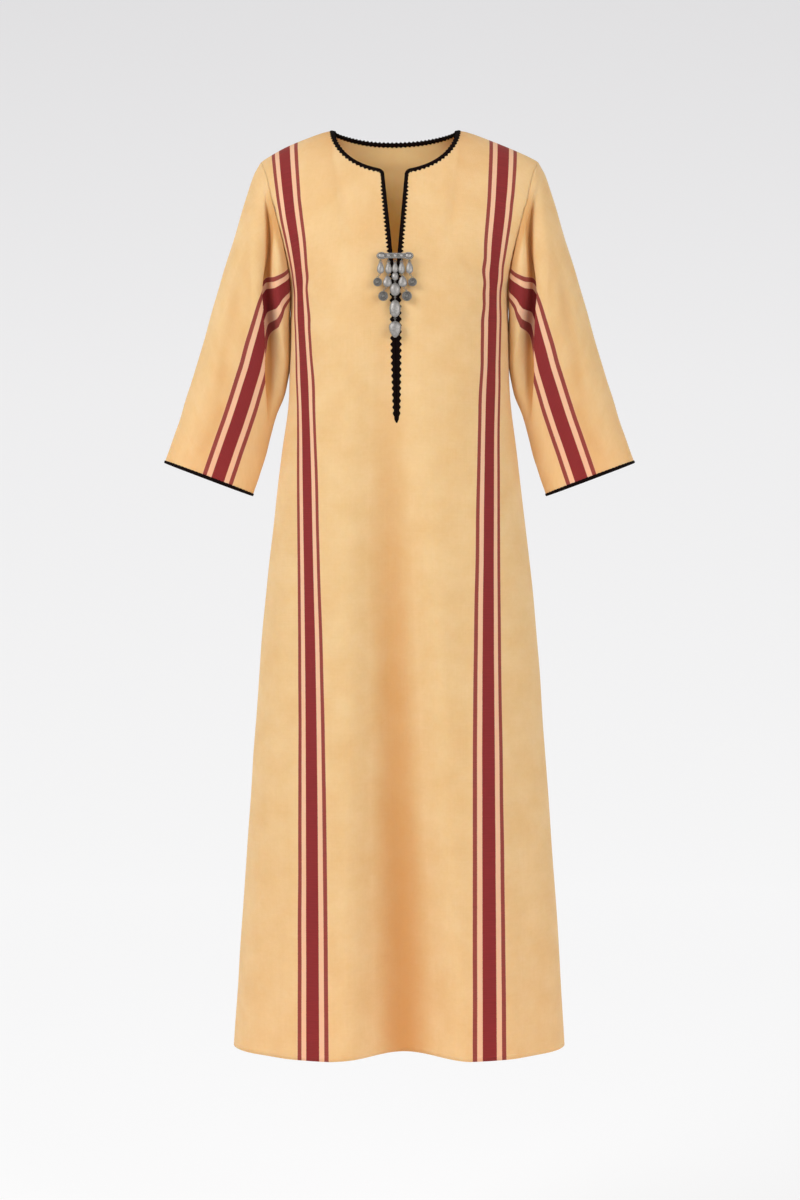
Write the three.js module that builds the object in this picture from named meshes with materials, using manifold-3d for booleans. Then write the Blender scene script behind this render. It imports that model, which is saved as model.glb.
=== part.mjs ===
// A kaftan dress, hollow and filled out as it is worn, open at neck, cuffs and hem.
// Front and back panels meet at the shoulders and sides, and two sleeves are set into the armholes.
// A scalloped edging wraps the neck and the front slit, a narrow one wraps each cuff, and a silver
// brooch closes the slit, with five strands of drops hanging from its bar.
// Millimetres, +Z up, the front faces -Y. The origin is on the shoulder line, in the middle of the neck.
import * as THREE from "three";
import { mergeVertices } from "three/addons/utils/BufferGeometryUtils.js";
import Module from "manifold-3d";

const wasm = await Module();
wasm.setup();

// Cloth and seams
const CLOTH = 1.5;
const SEAM = 0.3;

// Lengths down from the highest point of the shoulder
const LENGTH = 1368;
const CHEST_Z = -250;
const SLIT_CLOSED_Z = -231;
const SLIT_TIP_Z = -441;
const SLIT_NOTCH = 10;

// Neck and shoulder
const NECK_HALF = 93;
const NECK_Z = -3;
const FRONT_NECK_DROP = 65;
const BACK_NECK_DROP = 5;
const SHOULDER_HALF = 208;
const SHOULDER_DROP = 41;
const SHOULDER_ROUNDING = 1.6;
const CORNER_RADIUS = 7;
const SLIT_TOP_HALF = 15;
const SLIT_SPREAD = 45;

// The edging: a strip folded over the cloth's edge, with a lip on each face
const EDGING = { wall: 1.2, gap: 0.5 };
const RIM = EDGING.wall + EDGING.gap;
const SCALLOP = { neck: 7.4, slit: 8.8 };

// How flat the sections are across, against a plain ellipse
const FLATNESS = 0.15;
const FRONT = { sign: -1, name: "front", rounding: 1.7, crown: 0, drop: FRONT_NECK_DROP };
const BACK = { sign: 1, name: "back", rounding: 4, crown: 28, drop: BACK_NECK_DROP };

// Half width at the side seams and depth to each side of the shoulder line, from chest to hem.
// Above the chest, body is the half width that the section would have if it went on past the armhole.
const SECTIONS = [
  { z: 0, body: 300, front: 111, back: 98 },
  { z: -67, body: 276, front: 111, back: 98 },
  { z: -103, body: 255, front: 111, back: 98 },
  { z: -139, body: 228, front: 111, back: 98 },
  { z: -171, body: 201, front: 111, back: 98 },
  { z: -200, body: 180, front: 111, back: 98 },
  { z: -229, body: 166, front: 111, back: 98 },
  { z: -250, body: 162, front: 111, back: 98 },
  { z: -330, body: 160, front: 112, back: 94 },
  { z: -400, body: 165, front: 112, back: 92 },
  { z: -480, body: 176, front: 115, back: 94 },
  { z: -550, body: 185, front: 118, back: 99 },
  { z: -700, body: 201, front: 122, back: 108 },
  { z: -850, body: 213, front: 126, back: 113 },
  { z: -1000, body: 224, front: 129, back: 118 },
  { z: -1150, body: 234, front: 132, back: 123 },
  { z: -LENGTH, body: 248, front: 135, back: 129 },
];

// Where the armhole seam runs, from the shoulder down to the underarm
const ARMHOLE = [
  { z: -44, x: 208 },
  { z: -67, x: 199 },
  { z: -103, x: 190 },
  { z: -139, x: 180 },
  { z: -171, x: 172 },
  { z: -200, x: 166 },
  { z: -229, x: 161 },
  { z: CHEST_Z, x: 162 },
];
const ARMHOLE_MIDDLE_Z = (CHEST_Z + NECK_Z - SHOULDER_DROP) / 2;

// Folds of the skirt: the height and place where each starts, and its place, depth and half width at
// the hem
const FOLDS = [
  { panel: "front", top: -215, topX: -20, hemX: 7, depth: 66, half: 92 },
  { panel: "front", top: -620, topX: -150, hemX: -200, depth: 8, half: 44 },
  { panel: "front", top: -560, topX: 150, hemX: 204, depth: 10, half: 46 },
  { panel: "back", top: -330, topX: -60, hemX: -84, depth: 44, half: 84 },
  { panel: "back", top: -380, topX: 60, hemX: 86, depth: 40, half: 80 },
  { panel: "back", top: -640, topX: 150, hemX: 202, depth: 10, half: 44 },
];
const HEM_RISE = { middle: 5, side: 4 };

// How far the middle of the dress leans to the wearer's right; the side seams stay where they are
const LEAN = [
  { z: 0, x: -8 },
  { z: -200, x: -6.4 },
  { z: -440, x: -4 },
  { z: -900, x: -1.5 },
  { z: -LENGTH, x: 1.5 },
];

// The sleeve, section by section from the armhole (0) to the cuff (1): its outer and inner edge, seen
// from the front, and its half depth
const SLEEVE = [
  { at: 0, outX: 208, outZ: -44, inX: 162, inZ: -250, deep: 66 },
  { at: 0.08, outX: 218.5, outZ: -66, inX: 165, inZ: -271, deep: 67 },
  { at: 0.17, outX: 231.5, outZ: -103, inX: 165.5, inZ: -296, deep: 66 },
  { at: 0.27, outX: 248.5, outZ: -158, inX: 165.5, inZ: -324, deep: 64 },
  { at: 0.38, outX: 267, outZ: -219, inX: 166, inZ: -354, deep: 61 },
  { at: 0.5, outX: 286.5, outZ: -285, inX: 172, inZ: -388, deep: 57 },
  { at: 0.62, outX: 305, outZ: -350, inX: 185, inZ: -424, deep: 53 },
  { at: 0.75, outX: 323, outZ: -406, inX: 196, inZ: -464, deep: 50 },
  { at: 0.88, outX: 338, outZ: -452, inX: 208, inZ: -505, deep: 47 },
  { at: 1, outX: 351.5, outZ: -492, inX: 219.5, inZ: -541.5, deep: 45 },
];
const SLEEVE_STEPS = [0, 0.06, 0.13, 0.21, 0.3, 0.4, 0.5, 0.62, 0.75, 0.88, 1];

// Folds of the sleeve: angle round it from the outer edge over the front, start, deepest place and end
const SLEEVE_FOLDS = [
  { angle: 112, start: 0.02, peak: 0.26, end: 0.62, depth: 24, half: 34 },
  { angle: 246, start: 0.02, peak: 0.3, end: 0.66, depth: 18, half: 34 },
];

// The brooch: a bar across the slit, with its strands hung on rings below it
const BAR = { z: -199.5, y: -118, half: 22, high: 4.4, deep: 3 };
const BAR_ENDS = { x: 21.5, wide: 5.4, high: 5.6, deep: 3.4 };
const BOSSES = [-9.5, 0, 9.5];
const BOSS_RADIUS = 3.7;
const STAND_OFF = { x: 7, radius: 2.4 };
const RING = { radius: 2.1, wire: 0.55, play: 0.3 };
const HINGE_Z = -205.6;
const LINK_RADIUS = 0.8;

// Drops of each strand from the top down. taper above 0 makes the bottom fuller, below 0 the top.
const STRANDS = [
  {
    name: "strand_outer",
    x: 21,
    drops: [
      { x: 21, z: -217, wide: 9.2, high: 15.6, deep: 5.6, taper: 0.35 },
      { x: 25.3, z: -237.6, wide: 13.4, high: 13.4, deep: 5, taper: 0 },
    ],
  },
  {
    name: "strand_inner",
    x: 9.5,
    drops: [
      { x: 9.5, z: -217, wide: 8.4, high: 15.6, deep: 5.6, taper: 0.45 },
      { x: 11.2, z: -236.6, wide: 12, high: 15.4, deep: 6, taper: 0.4 },
      { x: 17, z: -258, wide: 14.2, high: 14.2, deep: 5, taper: 0 },
    ],
  },
  {
    name: "strand_middle",
    x: 0,
    drops: [
      { x: 0, z: -216.4, wide: 8, high: 14.6, deep: 5.6, taper: 0.5 },
      { x: 0, z: -229.6, wide: 8.6, high: 11, deep: 5.6, taper: 0 },
      { x: 0, z: -248.6, wide: 14, high: 17.6, deep: 7.4, taper: 0 },
      { x: 0, z: -276.4, wide: 14.6, high: 24, deep: 8, taper: 0 },
      { x: 0, z: -306.6, wide: 15.6, high: 22.4, deep: 7.6, taper: -0.3 },
    ],
  },
];

const METAL = new THREE.MeshStandardMaterial({ color: 0x8f8d8a, roughness: 0.4, metalness: 0.9 });
const CLOTH_COLOUR = new THREE.MeshStandardMaterial({ color: 0xe9b880, roughness: 0.9, metalness: 0 });
const BLACK_THREAD = new THREE.MeshStandardMaterial({ color: 0x120c0c, roughness: 0.8, metalness: 0 });

const clamp = (value, low, high) => Math.min(high, Math.max(low, value));

// A named column of a table, on a smooth curve through its rows
function read(table, name, at, by = "z") {
  const last = table.length - 1;
  const way = Math.sign(table[last][by] - table[0][by]);
  let i = 0;
  while (i < last - 1 && (at - table[i + 1][by]) * way > 0) i++;
  const slope = (j) => {
    const a = table[Math.max(j - 1, 0)];
    const b = table[Math.min(j + 1, last)];
    return (b[name] - a[name]) / (b[by] - a[by]);
  };
  const step = table[i + 1][by] - table[i][by];
  const t = clamp((at - table[i][by]) / step, 0, 1);
  const ease = t * t * (3 - 2 * t);
  return (
    table[i][name] * (1 - ease) +
    table[i + 1][name] * ease +
    slope(i) * step * t * (1 - t) ** 2 -
    slope(i + 1) * step * t * t * (1 - t)
  );
}

// The shoulder line, and the line that the panel would rise to if the neck were not cut out
function shoulderLine(x) {
  const out = Math.max(0, Math.abs(x) - NECK_HALF) / (SHOULDER_HALF - NECK_HALF);
  return NECK_Z - SHOULDER_DROP * out ** SHOULDER_ROUNDING;
}
function crownLine(panel, x) {
  const inside = Math.max(0, 1 - (x / NECK_HALF) ** 2);
  return shoulderLine(x) + panel.crown * inside ** 2;
}

// The cut edge of the neck, a half ellipse on each panel, rounded into the slit on the front
function neckLine(panel, x) {
  const across = Math.min(1, Math.abs(x) / NECK_HALF);
  const curve = NECK_Z - panel.drop * Math.sqrt(1 - across ** 2);
  if (panel !== FRONT) return curve;
  const into = clamp(SLIT_TOP_HALF + RIM + CORNER_RADIUS - Math.abs(x), 0, CORNER_RADIUS);
  return curve - (CORNER_RADIUS - Math.sqrt(CORNER_RADIUS ** 2 - into ** 2));
}

// Half the width of the cut in the cloth: wide at the neck, a rim's width where the edgings meet. Below
// its foot the front's two halves lie a seam's width apart.
function slitHalf(z) {
  const closed = RIM + SEAM / 2;
  if (z < SLIT_CLOSED_Z) return SEAM / 2 + RIM * clamp((z - SLIT_TIP_Z) / SLIT_NOTCH, 0, 1);
  const top = NECK_Z - FRONT_NECK_DROP - CORNER_RADIUS;
  const open = (z - SLIT_CLOSED_Z) / (top - SLIT_CLOSED_Z);
  return closed + (SLIT_TOP_HALF - SEAM / 2) * Math.min(open, 1);
}

// How far the skirt is drawn in by its folds
function foldIn(panel, x, z) {
  let depth = 0;
  for (const fold of FOLDS) {
    if (fold.panel !== panel.name || z > fold.top) continue;
    const down = (fold.top - z) / (fold.top + LENGTH);
    const spread = fold.half * (0.62 + 0.38 * down);
    const middle = fold.topX + (fold.hemX - fold.topX) * down;
    const off = clamp((x - middle) / spread, -1, 1);
    depth += fold.depth * down ** 0.9 * 0.5 * (1 + Math.cos(Math.PI * off));
  }
  return depth;
}

// A point of a panel. across runs from side to side, -1 to 1, and up runs from -1 at the hem over 0 at
// the chest to 1 at the shoulder line. hand is the side of the slit that the point belongs to.
function bodyPoint(panel, across, up, hand = Math.sign(across) || 1) {
  const lift = 1 - (1 - clamp(up, 0, 1)) ** 2;
  let z = CHEST_Z + Math.min(up, 0) * (LENGTH + CHEST_Z);
  let x = 0;
  let body = read(SECTIONS, "body", z);
  for (let turn = 0; turn < (up > 0 ? 24 : 1); turn++) {
    const edge = up > 0 ? Math.asin(Math.min(1, read(ARMHOLE, "x", z) / body)) : Math.PI / 2;
    x = body * Math.sin(across * edge);
    if (up > 0) z = CHEST_Z + (crownLine(panel, x) - CHEST_Z) * lift;
    body = read(SECTIONS, "body", z);
  }
  if (panel === FRONT) x += hand * slitHalf(z) * Math.max(0, 1 - Math.abs(x) / SLIT_SPREAD);
  const sine = clamp(x / body, -1, 1);
  const round = Math.sqrt(1 - sine ** 2) * (1 + FLATNESS * sine ** 2);
  const over = Math.sqrt(Math.max(0, 1 - lift ** panel.rounding));
  const deep = read(SECTIONS, panel.name, z) * round * over - foldIn(panel, x, z) * round;
  const low = clamp(-up, 0, 1) ** 6;
  const middle = panel === FRONT ? HEM_RISE.middle * Math.max(0, 1 - (x / 100) ** 2) : 0;
  const rise = low * (middle + HEM_RISE.side * sine ** 4);
  return new THREE.Vector3(x, panel.sign * (deep + SEAM / 2), z + rise);
}

// The lean is given to finished pieces: full in the middle, none at the side seams and armholes
function leanAt(x, z) {
  const edge = z > CHEST_Z ? read(ARMHOLE, "x", z) : read(SECTIONS, "body", z);
  return read(LEAN, "x", z) * Math.max(0, 1 - (x / edge) ** 2);
}
function leaned(geometry) {
  const place = geometry.attributes.position;
  for (let i = 0; i < place.count; i++) {
    place.setX(i, place.getX(i) + leanAt(place.getX(i), place.getZ(i)));
  }
  geometry.computeVertexNormals();
  return geometry;
}

// The outward normal of a panel, from points close by
function bodyNormal(panel, across, up, hand) {
  const small = 1e-3;
  const side = across > 0.5 ? -small : small;
  const down = up > 0.5 ? -small : small;
  const here = bodyPoint(panel, across, up, hand);
  const a = bodyPoint(panel, across + side, up, hand).sub(here).multiplyScalar(Math.sign(side));
  const b = bodyPoint(panel, across, up + down, hand).sub(here).multiplyScalar(Math.sign(down));
  return a.cross(b).multiplyScalar(-panel.sign).normalize();
}

// A place on a panel that lies a distance away in a given direction, measured along the cloth
function walk(panel, across, up, hand, direction, distance) {
  const small = 1e-3;
  let place = { across, up };
  const steps = 3;
  for (let i = 0; i < steps; i++) {
    const here = bodyPoint(panel, place.across, place.up, hand);
    const back = place.up > 0.9 ? -small : small;
    const a = bodyPoint(panel, place.across + small, place.up, hand).sub(here).divideScalar(small);
    const b = bodyPoint(panel, place.across, place.up + back, hand).sub(here).divideScalar(back);
    const goal = direction.clone().multiplyScalar(distance / steps);
    const aa = a.dot(a);
    const ab = a.dot(b);
    const bb = b.dot(b);
    const det = aa * bb - ab * ab;
    const da = (goal.dot(a) * bb - goal.dot(b) * ab) / det;
    const db = (goal.dot(b) * aa - goal.dot(a) * ab) / det;
    place = { across: clamp(place.across + da, -1, 1), up: Math.min(1, place.up + db) };
  }
  return place;
}

// How far up a panel goes at a given place across: to the shoulder, or to the neck's edge
function topOf(panel, across, hand) {
  const over = (up) => {
    const p = bodyPoint(panel, across, up, hand);
    return p.z - neckLine(panel, p.x);
  };
  const end = bodyPoint(panel, across, 1, hand);
  if (Math.abs(end.x) >= NECK_HALF - 1e-6) return 1;
  let low = 0;
  let high = 1;
  for (let i = 0; i < 40; i++) {
    const middle = (low + high) / 2;
    if (over(middle) > 0) high = middle;
    else low = middle;
  }
  return low;
}

// The place across at which a column of cloth reaches a given distance from the middle at the top
function acrossAt(panel, x) {
  let low = 0;
  let high = 1;
  for (let i = 0; i < 40; i++) {
    const middle = (low + high) / 2;
    if (bodyPoint(panel, middle, topOf(panel, middle, 1), 1).x > x) high = middle;
    else low = middle;
  }
  return (low + high) / 2;
}

// A closed wall of cloth: a sheet of points with their normals, and the same points moved inwards
function wallOf(sheet, thickness) {
  const keys = new Map();
  const outer = [];
  const inner = [];
  const index = sheet.points.map((p, i) => {
    const key = [p.x, p.y, p.z].map((v) => Math.round(v * 500)).join(" ");
    if (!keys.has(key)) {
      keys.set(key, outer.length);
      outer.push(p);
      inner.push(p.clone().addScaledVector(sheet.normals[i], -thickness));
    }
    return keys.get(key);
  });
  const faces = sheet.faces.map((f) => f.map((i) => index[i]));
  const edges = new Set(faces.flatMap(([a, b, c]) => [`${a} ${b}`, `${b} ${c}`, `${c} ${a}`]));
  const many = outer.length;
  const all = [...faces, ...faces.map(([a, b, c]) => [a + many, c + many, b + many])];
  for (const edge of edges) {
    const [a, b] = edge.split(" ").map(Number);
    if (edges.has(`${b} ${a}`)) continue;
    all.push([b, a, a + many], [b, a + many, b + many]);
  }
  return geometryOf([...outer, ...inner], all);
}

function geometryOf(points, faces) {
  const geometry = new THREE.BufferGeometry().setFromPoints(points);
  geometry.setIndex(faces.flat());
  geometry.computeVertexNormals();
  return geometry;
}

// A sheet made of rows and columns of places, facing outwards when flip is false
function gridSheet(places, point, normal, flip) {
  const sheet = { points: [], normals: [], faces: [] };
  const wide = places[0].length;
  for (const row of places) {
    for (const place of row) {
      sheet.points.push(point(place));
      sheet.normals.push(normal(place));
    }
  }
  for (let r = 0; r + 1 < places.length; r++) {
    for (let c = 0; c + 1 < wide; c++) {
      const a = r * wide + c;
      const b = a + 1;
      const d = a + wide;
      const e = d + 1;
      const two = [
        [a, b, e],
        [a, e, d],
      ];
      for (const [i, j, k] of two) sheet.faces.push(flip ? [i, k, j] : [i, j, k]);
    }
  }
  return sheet;
}

function joinSheets(one, two) {
  const many = one.points.length;
  return {
    points: [...one.points, ...two.points],
    normals: [...one.normals, ...two.normals],
    faces: [...one.faces, ...two.faces.map((f) => f.map((i) => i + many))],
  };
}

// Rows of a panel: the skirt's heights, then the same shares of the way up as the sleeve's first ring
const SKIRT_ROWS = [
  -LENGTH, -1265, -1150, -1035, -920, -810, -705, -610, -525, SLIT_TIP_Z, SLIT_TIP_Z + SLIT_NOTCH, -375,
  -312,
];
const ARMHOLE_ROWS = 10;
const UPPER_SHARES = Array.from(
  { length: ARMHOLE_ROWS + 1 },
  (_, i) => (1 - Math.cos((Math.PI * i) / ARMHOLE_ROWS)) / 2,
);
const heightShare = (z) => (z - CHEST_Z) / (LENGTH + CHEST_Z);

// Rows above the chest are shares of the height, and up runs faster at the chest than at the shoulder
function upAtShare(panel, across, hand, share) {
  const top = topOf(panel, across, hand);
  const topLift = 1 - (1 - top) ** 2;
  return 1 - Math.sqrt(1 - topLift * share);
}

// Places across a panel: evenly spaced along the neck's edge, and then over the shoulder
function columnsOf(panel, neckColumns, shoulderColumns) {
  const neckShare = acrossAt(panel, NECK_HALF);
  const columns = [0];
  if (panel === FRONT) {
    const corner = SLIT_TOP_HALF + RIM;
    columns.push(...[0.12, 0.45, 1].map((s) => acrossAt(panel, corner + CORNER_RADIUS * s)));
  }
  const first = columns[columns.length - 1];
  const fine = 240;
  const track = [{ across: first, along: 0, point: null }];
  for (let i = 0; i <= fine; i++) {
    const across = neckShare - (neckShare - first) * (1 - i / fine) ** 3;
    const point = bodyPoint(panel, across, topOf(panel, across, 1), 1);
    const before = track[track.length - 1];
    const along = before.along + (before.point ? point.distanceTo(before.point) : 0);
    track.push({ across, along, point });
  }
  const total = track[track.length - 1].along;
  for (let i = 1; i < neckColumns; i++) {
    columns.push(track.find((t) => t.along >= (total * i) / neckColumns).across);
  }
  for (let i = 0; i <= shoulderColumns; i++) {
    columns.push(neckShare + ((1 - neckShare) * i) / shoulderColumns);
  }
  return columns;
}

// At seams both pieces lean their walls the same way, so that the cut edges stay parallel
function seamNormal(panel, place) {
  const point = bodyPoint(panel, place.across, place.up, place.hand);
  if (Math.abs(place.across) === 1 && place.up >= 0) {
    return new THREE.Vector3(0, point.y - (panel.sign * SEAM) / 2, point.z - ARMHOLE_MIDDLE_Z).normalize();
  }
  const normal = bodyNormal(panel, place.across, place.up, place.hand);
  if (Math.abs(place.across) === 1 || place.up > 1 - 1e-9) normal.y = 0;
  return normal.normalize();
}

function rowsOf(panel, columns, hand) {
  return [
    ...SKIRT_ROWS.map((z) => columns.map((a) => ({ across: a * hand, up: heightShare(z), hand }))),
    ...UPPER_SHARES.map((share) =>
      columns.map((a) => ({
        across: a * hand,
        up: share === 0 ? 0 : upAtShare(panel, a * hand, hand, share),
        hand,
      })),
    ),
  ];
}

function halfPanel(panel, columns, hand) {
  const point = (p) => bodyPoint(panel, p.across, p.up, p.hand);
  const normal = (p) => seamNormal(panel, p);
  return gridSheet(rowsOf(panel, columns, hand), point, normal, hand * panel.sign > 0);
}

// The back is one solid. The front is four: a left and a right half, each in a part above the slit's
// foot and a skirt below it, so that its hollow is kept clear by small collision pieces.
function backGeometry(columns) {
  return wallOf(joinSheets(halfPanel(BACK, columns, 1), halfPanel(BACK, columns, -1)), CLOTH);
}
const SPLIT_ROW = SKIRT_ROWS.indexOf(SLIT_TIP_Z);
function frontPart(columns, hand, upper) {
  const rows = rowsOf(FRONT, columns, hand);
  const kept = upper ? rows.slice(SPLIT_ROW) : rows.slice(0, SPLIT_ROW + 1);
  const seam = upper ? 0 : kept.length - 1;
  const apart = ((upper ? 1 : -1) * SEAM) / 2 / (LENGTH + CHEST_Z);
  const places = kept.map((row, i) => row.map((p) => (i === seam ? { ...p, up: p.up + apart } : p)));
  const point = (p) => bodyPoint(FRONT, p.across, p.up, p.hand);
  const normal = (p) => seamNormal(FRONT, p);
  return wallOf(gridSheet(places, point, normal, hand < 0), CLOTH);
}

const frontColumns = columnsOf(FRONT, 9, 4);
const backColumns = columnsOf(BACK, 7, 4);

// The sleeve's ring at a given way along it, by the angle from its outer edge over the front
function sleeveRing(at, angle) {
  const turn = (angle * Math.PI) / 180;
  const row = (name) => read(SLEEVE, name, at, "at");
  const outer = new THREE.Vector3(row("outX"), 0, row("outZ"));
  const inner = new THREE.Vector3(row("inX"), 0, row("inZ"));
  const middle = outer.clone().add(inner).multiplyScalar(0.5);
  const half = outer.clone().sub(inner).multiplyScalar(0.5);
  const point = middle.clone().addScaledVector(half, Math.cos(turn));
  point.y = -row("deep") * Math.sin(turn);
  for (const fold of SLEEVE_FOLDS) {
    const off = clamp((angle - fold.angle) / fold.half, -1, 1);
    const way = at < fold.peak ? (at - fold.start) / (fold.peak - fold.start) : (fold.end - at) / (fold.end - fold.peak);
    const strength = clamp(way, 0, 1) ** 2 * (3 - 2 * clamp(way, 0, 1));
    const inward = middle.clone().sub(point).normalize();
    point.addScaledVector(inward, fold.depth * strength * 0.5 * (1 + Math.cos(Math.PI * off)));
  }
  return point;
}

// The armhole's edge, taken from the panels' own points, so that the sleeve starts exactly on it
function armholePoint(angle) {
  const panel = angle <= 180 ? FRONT : BACK;
  const round = angle <= 180 ? angle : 360 - angle;
  const share = (1 + Math.cos((round * Math.PI) / 180)) / 2;
  const up = share < 1e-9 ? 0 : upAtShare(panel, 1, 1, share);
  const point = bodyPoint(panel, 1, up, 1);
  if (angle === 0 || angle === 180 || angle === 360) point.y = 0;
  return point;
}

const ARMHOLE_BLEND = 0.3;
function sleevePoint(at, angle) {
  const ring = sleeveRing(at, angle);
  const fade = clamp(1 - at / ARMHOLE_BLEND, 0, 1) ** 2;
  if (fade > 0) {
    const shift = armholePoint(angle).sub(sleeveRing(0, angle));
    ring.addScaledVector(shift, fade);
  }
  ring.x += SEAM;
  return ring;
}

function sleeveNormal(at, angle) {
  if (at === 0) {
    const point = armholePoint(angle);
    return new THREE.Vector3(0, point.y, point.z - ARMHOLE_MIDDLE_Z).normalize();
  }
  const small = 1e-3;
  const along = at > 0.5 ? -small : small;
  const here = sleevePoint(at, angle);
  const a = sleevePoint(at, angle + 1).sub(sleevePoint(at, (angle + 359) % 360));
  const b = sleevePoint(at + along, angle).sub(here).multiplyScalar(Math.sign(along));
  return a.cross(b).normalize();
}

const RING_STEPS = 2 * ARMHOLE_ROWS;
const ringAngles = Array.from({ length: RING_STEPS + 1 }, (_, i) => ((i % RING_STEPS) * 360) / RING_STEPS);

function sleeveGeometry() {
  const rows = SLEEVE_STEPS.map((at) => ringAngles.map((angle) => ({ at, angle })));
  const point = (p) => sleevePoint(p.at, p.angle);
  const normal = (p) => sleeveNormal(p.at, p.angle);
  return wallOf(gridSheet(rows, point, normal, false), CLOTH);
}

// The other side's copy of a geometry, with its faces turned back to face outwards
function mirrored(geometry) {
  const copy = geometry.clone().scale(-1, 1, 1);
  const index = [...copy.index.array];
  for (let i = 0; i < index.length; i += 3) [index[i + 1], index[i + 2]] = [index[i + 2], index[i + 1]];
  copy.setIndex(index);
  copy.computeVertexNormals();
  return copy;
}

// A strip folded over an edge. Each station has the cloth's edge on both faces, the normal there and
// the way onto the cloth, and where its lips end on both faces with the normal there.
function edgingGeometry(stations, closed) {
  const { wall, gap } = EDGING;
  const points = [];
  const moved = (from, way, far, normal, out) =>
    from.clone().addScaledVector(way, far).addScaledVector(normal, out);
  for (const s of stations) {
    const over = gap + (s.over ?? 0);
    const under = gap + (s.under ?? 0);
    points.push(
      moved(s.edge, s.onto, -RIM, s.normal, over + wall),
      moved(s.lip, s.onto, 0, s.lipNormal, over + wall),
      moved(s.lip, s.onto, 0, s.lipNormal, over),
      moved(s.edge, s.onto, -gap, s.normal, over),
      moved(s.edgeInside, s.onto, -gap, s.normal, -under),
      moved(s.lipInside, s.onto, 0, s.lipNormal, -under),
      moved(s.lipInside, s.onto, 0, s.lipNormal, -under - wall),
      moved(s.edgeInside, s.onto, -RIM, s.normal, -under - wall),
    );
  }
  const corners = 8;
  const faces = [];
  const count = closed ? stations.length : stations.length - 1;
  for (let i = 0; i < count; i++) {
    for (let c = 0; c < corners; c++) {
      const a = i * corners + c;
      const b = i * corners + ((c + 1) % corners);
      const d = ((i + 1) % stations.length) * corners + c;
      const e = ((i + 1) % stations.length) * corners + ((c + 1) % corners);
      faces.push([a, b, e], [a, e, d]);
    }
  }
  if (!closed) {
    const end = (stations.length - 1) * corners;
    const cap = [
      [0, 1, 2],
      [0, 2, 3],
      [0, 3, 7],
      [3, 4, 7],
      [4, 5, 7],
      [5, 6, 7],
    ];
    for (const [a, b, c] of cap) faces.push([a, c, b], [end + a, end + b, end + c]);
  }
  return geometryOf(points, faces);
}

// The corners of the opening's edge on one hand, from the foot of the slit over the neck to the middle
// of the back
function openingEdge(hand) {
  const front = rowsOf(FRONT, frontColumns, hand);
  const back = rowsOf(BACK, backColumns, hand);
  const foot = SKIRT_ROWS.indexOf(SLIT_TIP_Z + SLIT_NOTCH);
  const neckEnd = (row, panel) =>
    row.filter((place) => hand * bodyPoint(panel, place.across, place.up, hand).x < NECK_HALF + 0.01);
  const places = [
    ...front.slice(foot).map((row) => ({ ...row[0], panel: FRONT })),
    ...neckEnd(front[front.length - 1].slice(1), FRONT).map((place) => ({ ...place, panel: FRONT })),
    ...neckEnd(back[back.length - 1], BACK)
      .map((place) => ({ ...place, panel: BACK }))
      .reverse(),
  ];
  return places.map((place) => ({
    ...place,
    point: bodyPoint(place.panel, place.across, place.up, hand),
    normal: seamNormal(place.panel, place),
  }));
}

// The nearest place to a point on one face of both panels
const trianglesOf = (points, faces) =>
  faces.map((face) => new THREE.Triangle(...face.map((corner) => points[corner])));
function nearest(triangles, point) {
  const best = new THREE.Vector3();
  const found = new THREE.Vector3();
  let least = Infinity;
  for (const triangle of triangles) {
    triangle.closestPointToPoint(point, found);
    const far = found.distanceToSquared(point);
    if (!(far < least)) continue;
    least = far;
    best.copy(found);
  }
  return best;
}

// How far the cloth rises above the straight line between two places on one of its faces
const BULGE_MARGIN = 1.6;
function bulge(triangles, from, to, normal) {
  let most = 0;
  for (let i = 0; i <= 8; i++) {
    const point = from.clone().lerp(to, i / 8);
    most = Math.max(most, nearest(triangles, point).sub(point).dot(normal));
  }
  return most * BULGE_MARGIN;
}

// Width of the edging's lips along the slit and neck, in millimetres from the slit's foot
const LIPS = [
  { at: 0, width: 0.8, height: 0 },
  { at: 8, width: 1.4, height: 1.2 },
  { at: 36, width: 1.9, height: 1.7 },
  { at: 74, width: 2.9, height: 1.9 },
  { at: 119, width: 3.9, height: 2 },
  { at: 200, width: 3.9, height: 1.9 },
  { at: 340, width: 3.2, height: 1.4 },
  { at: 353, width: 3.2, height: 0.6 },
  { at: 360, width: 3.2, height: 0 },
  { at: 370, width: 3.2, height: 0.7 },
  { at: 390, width: 3.3, height: 1.2 },
  { at: 700, width: 3.3, height: 1.2 },
];

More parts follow.
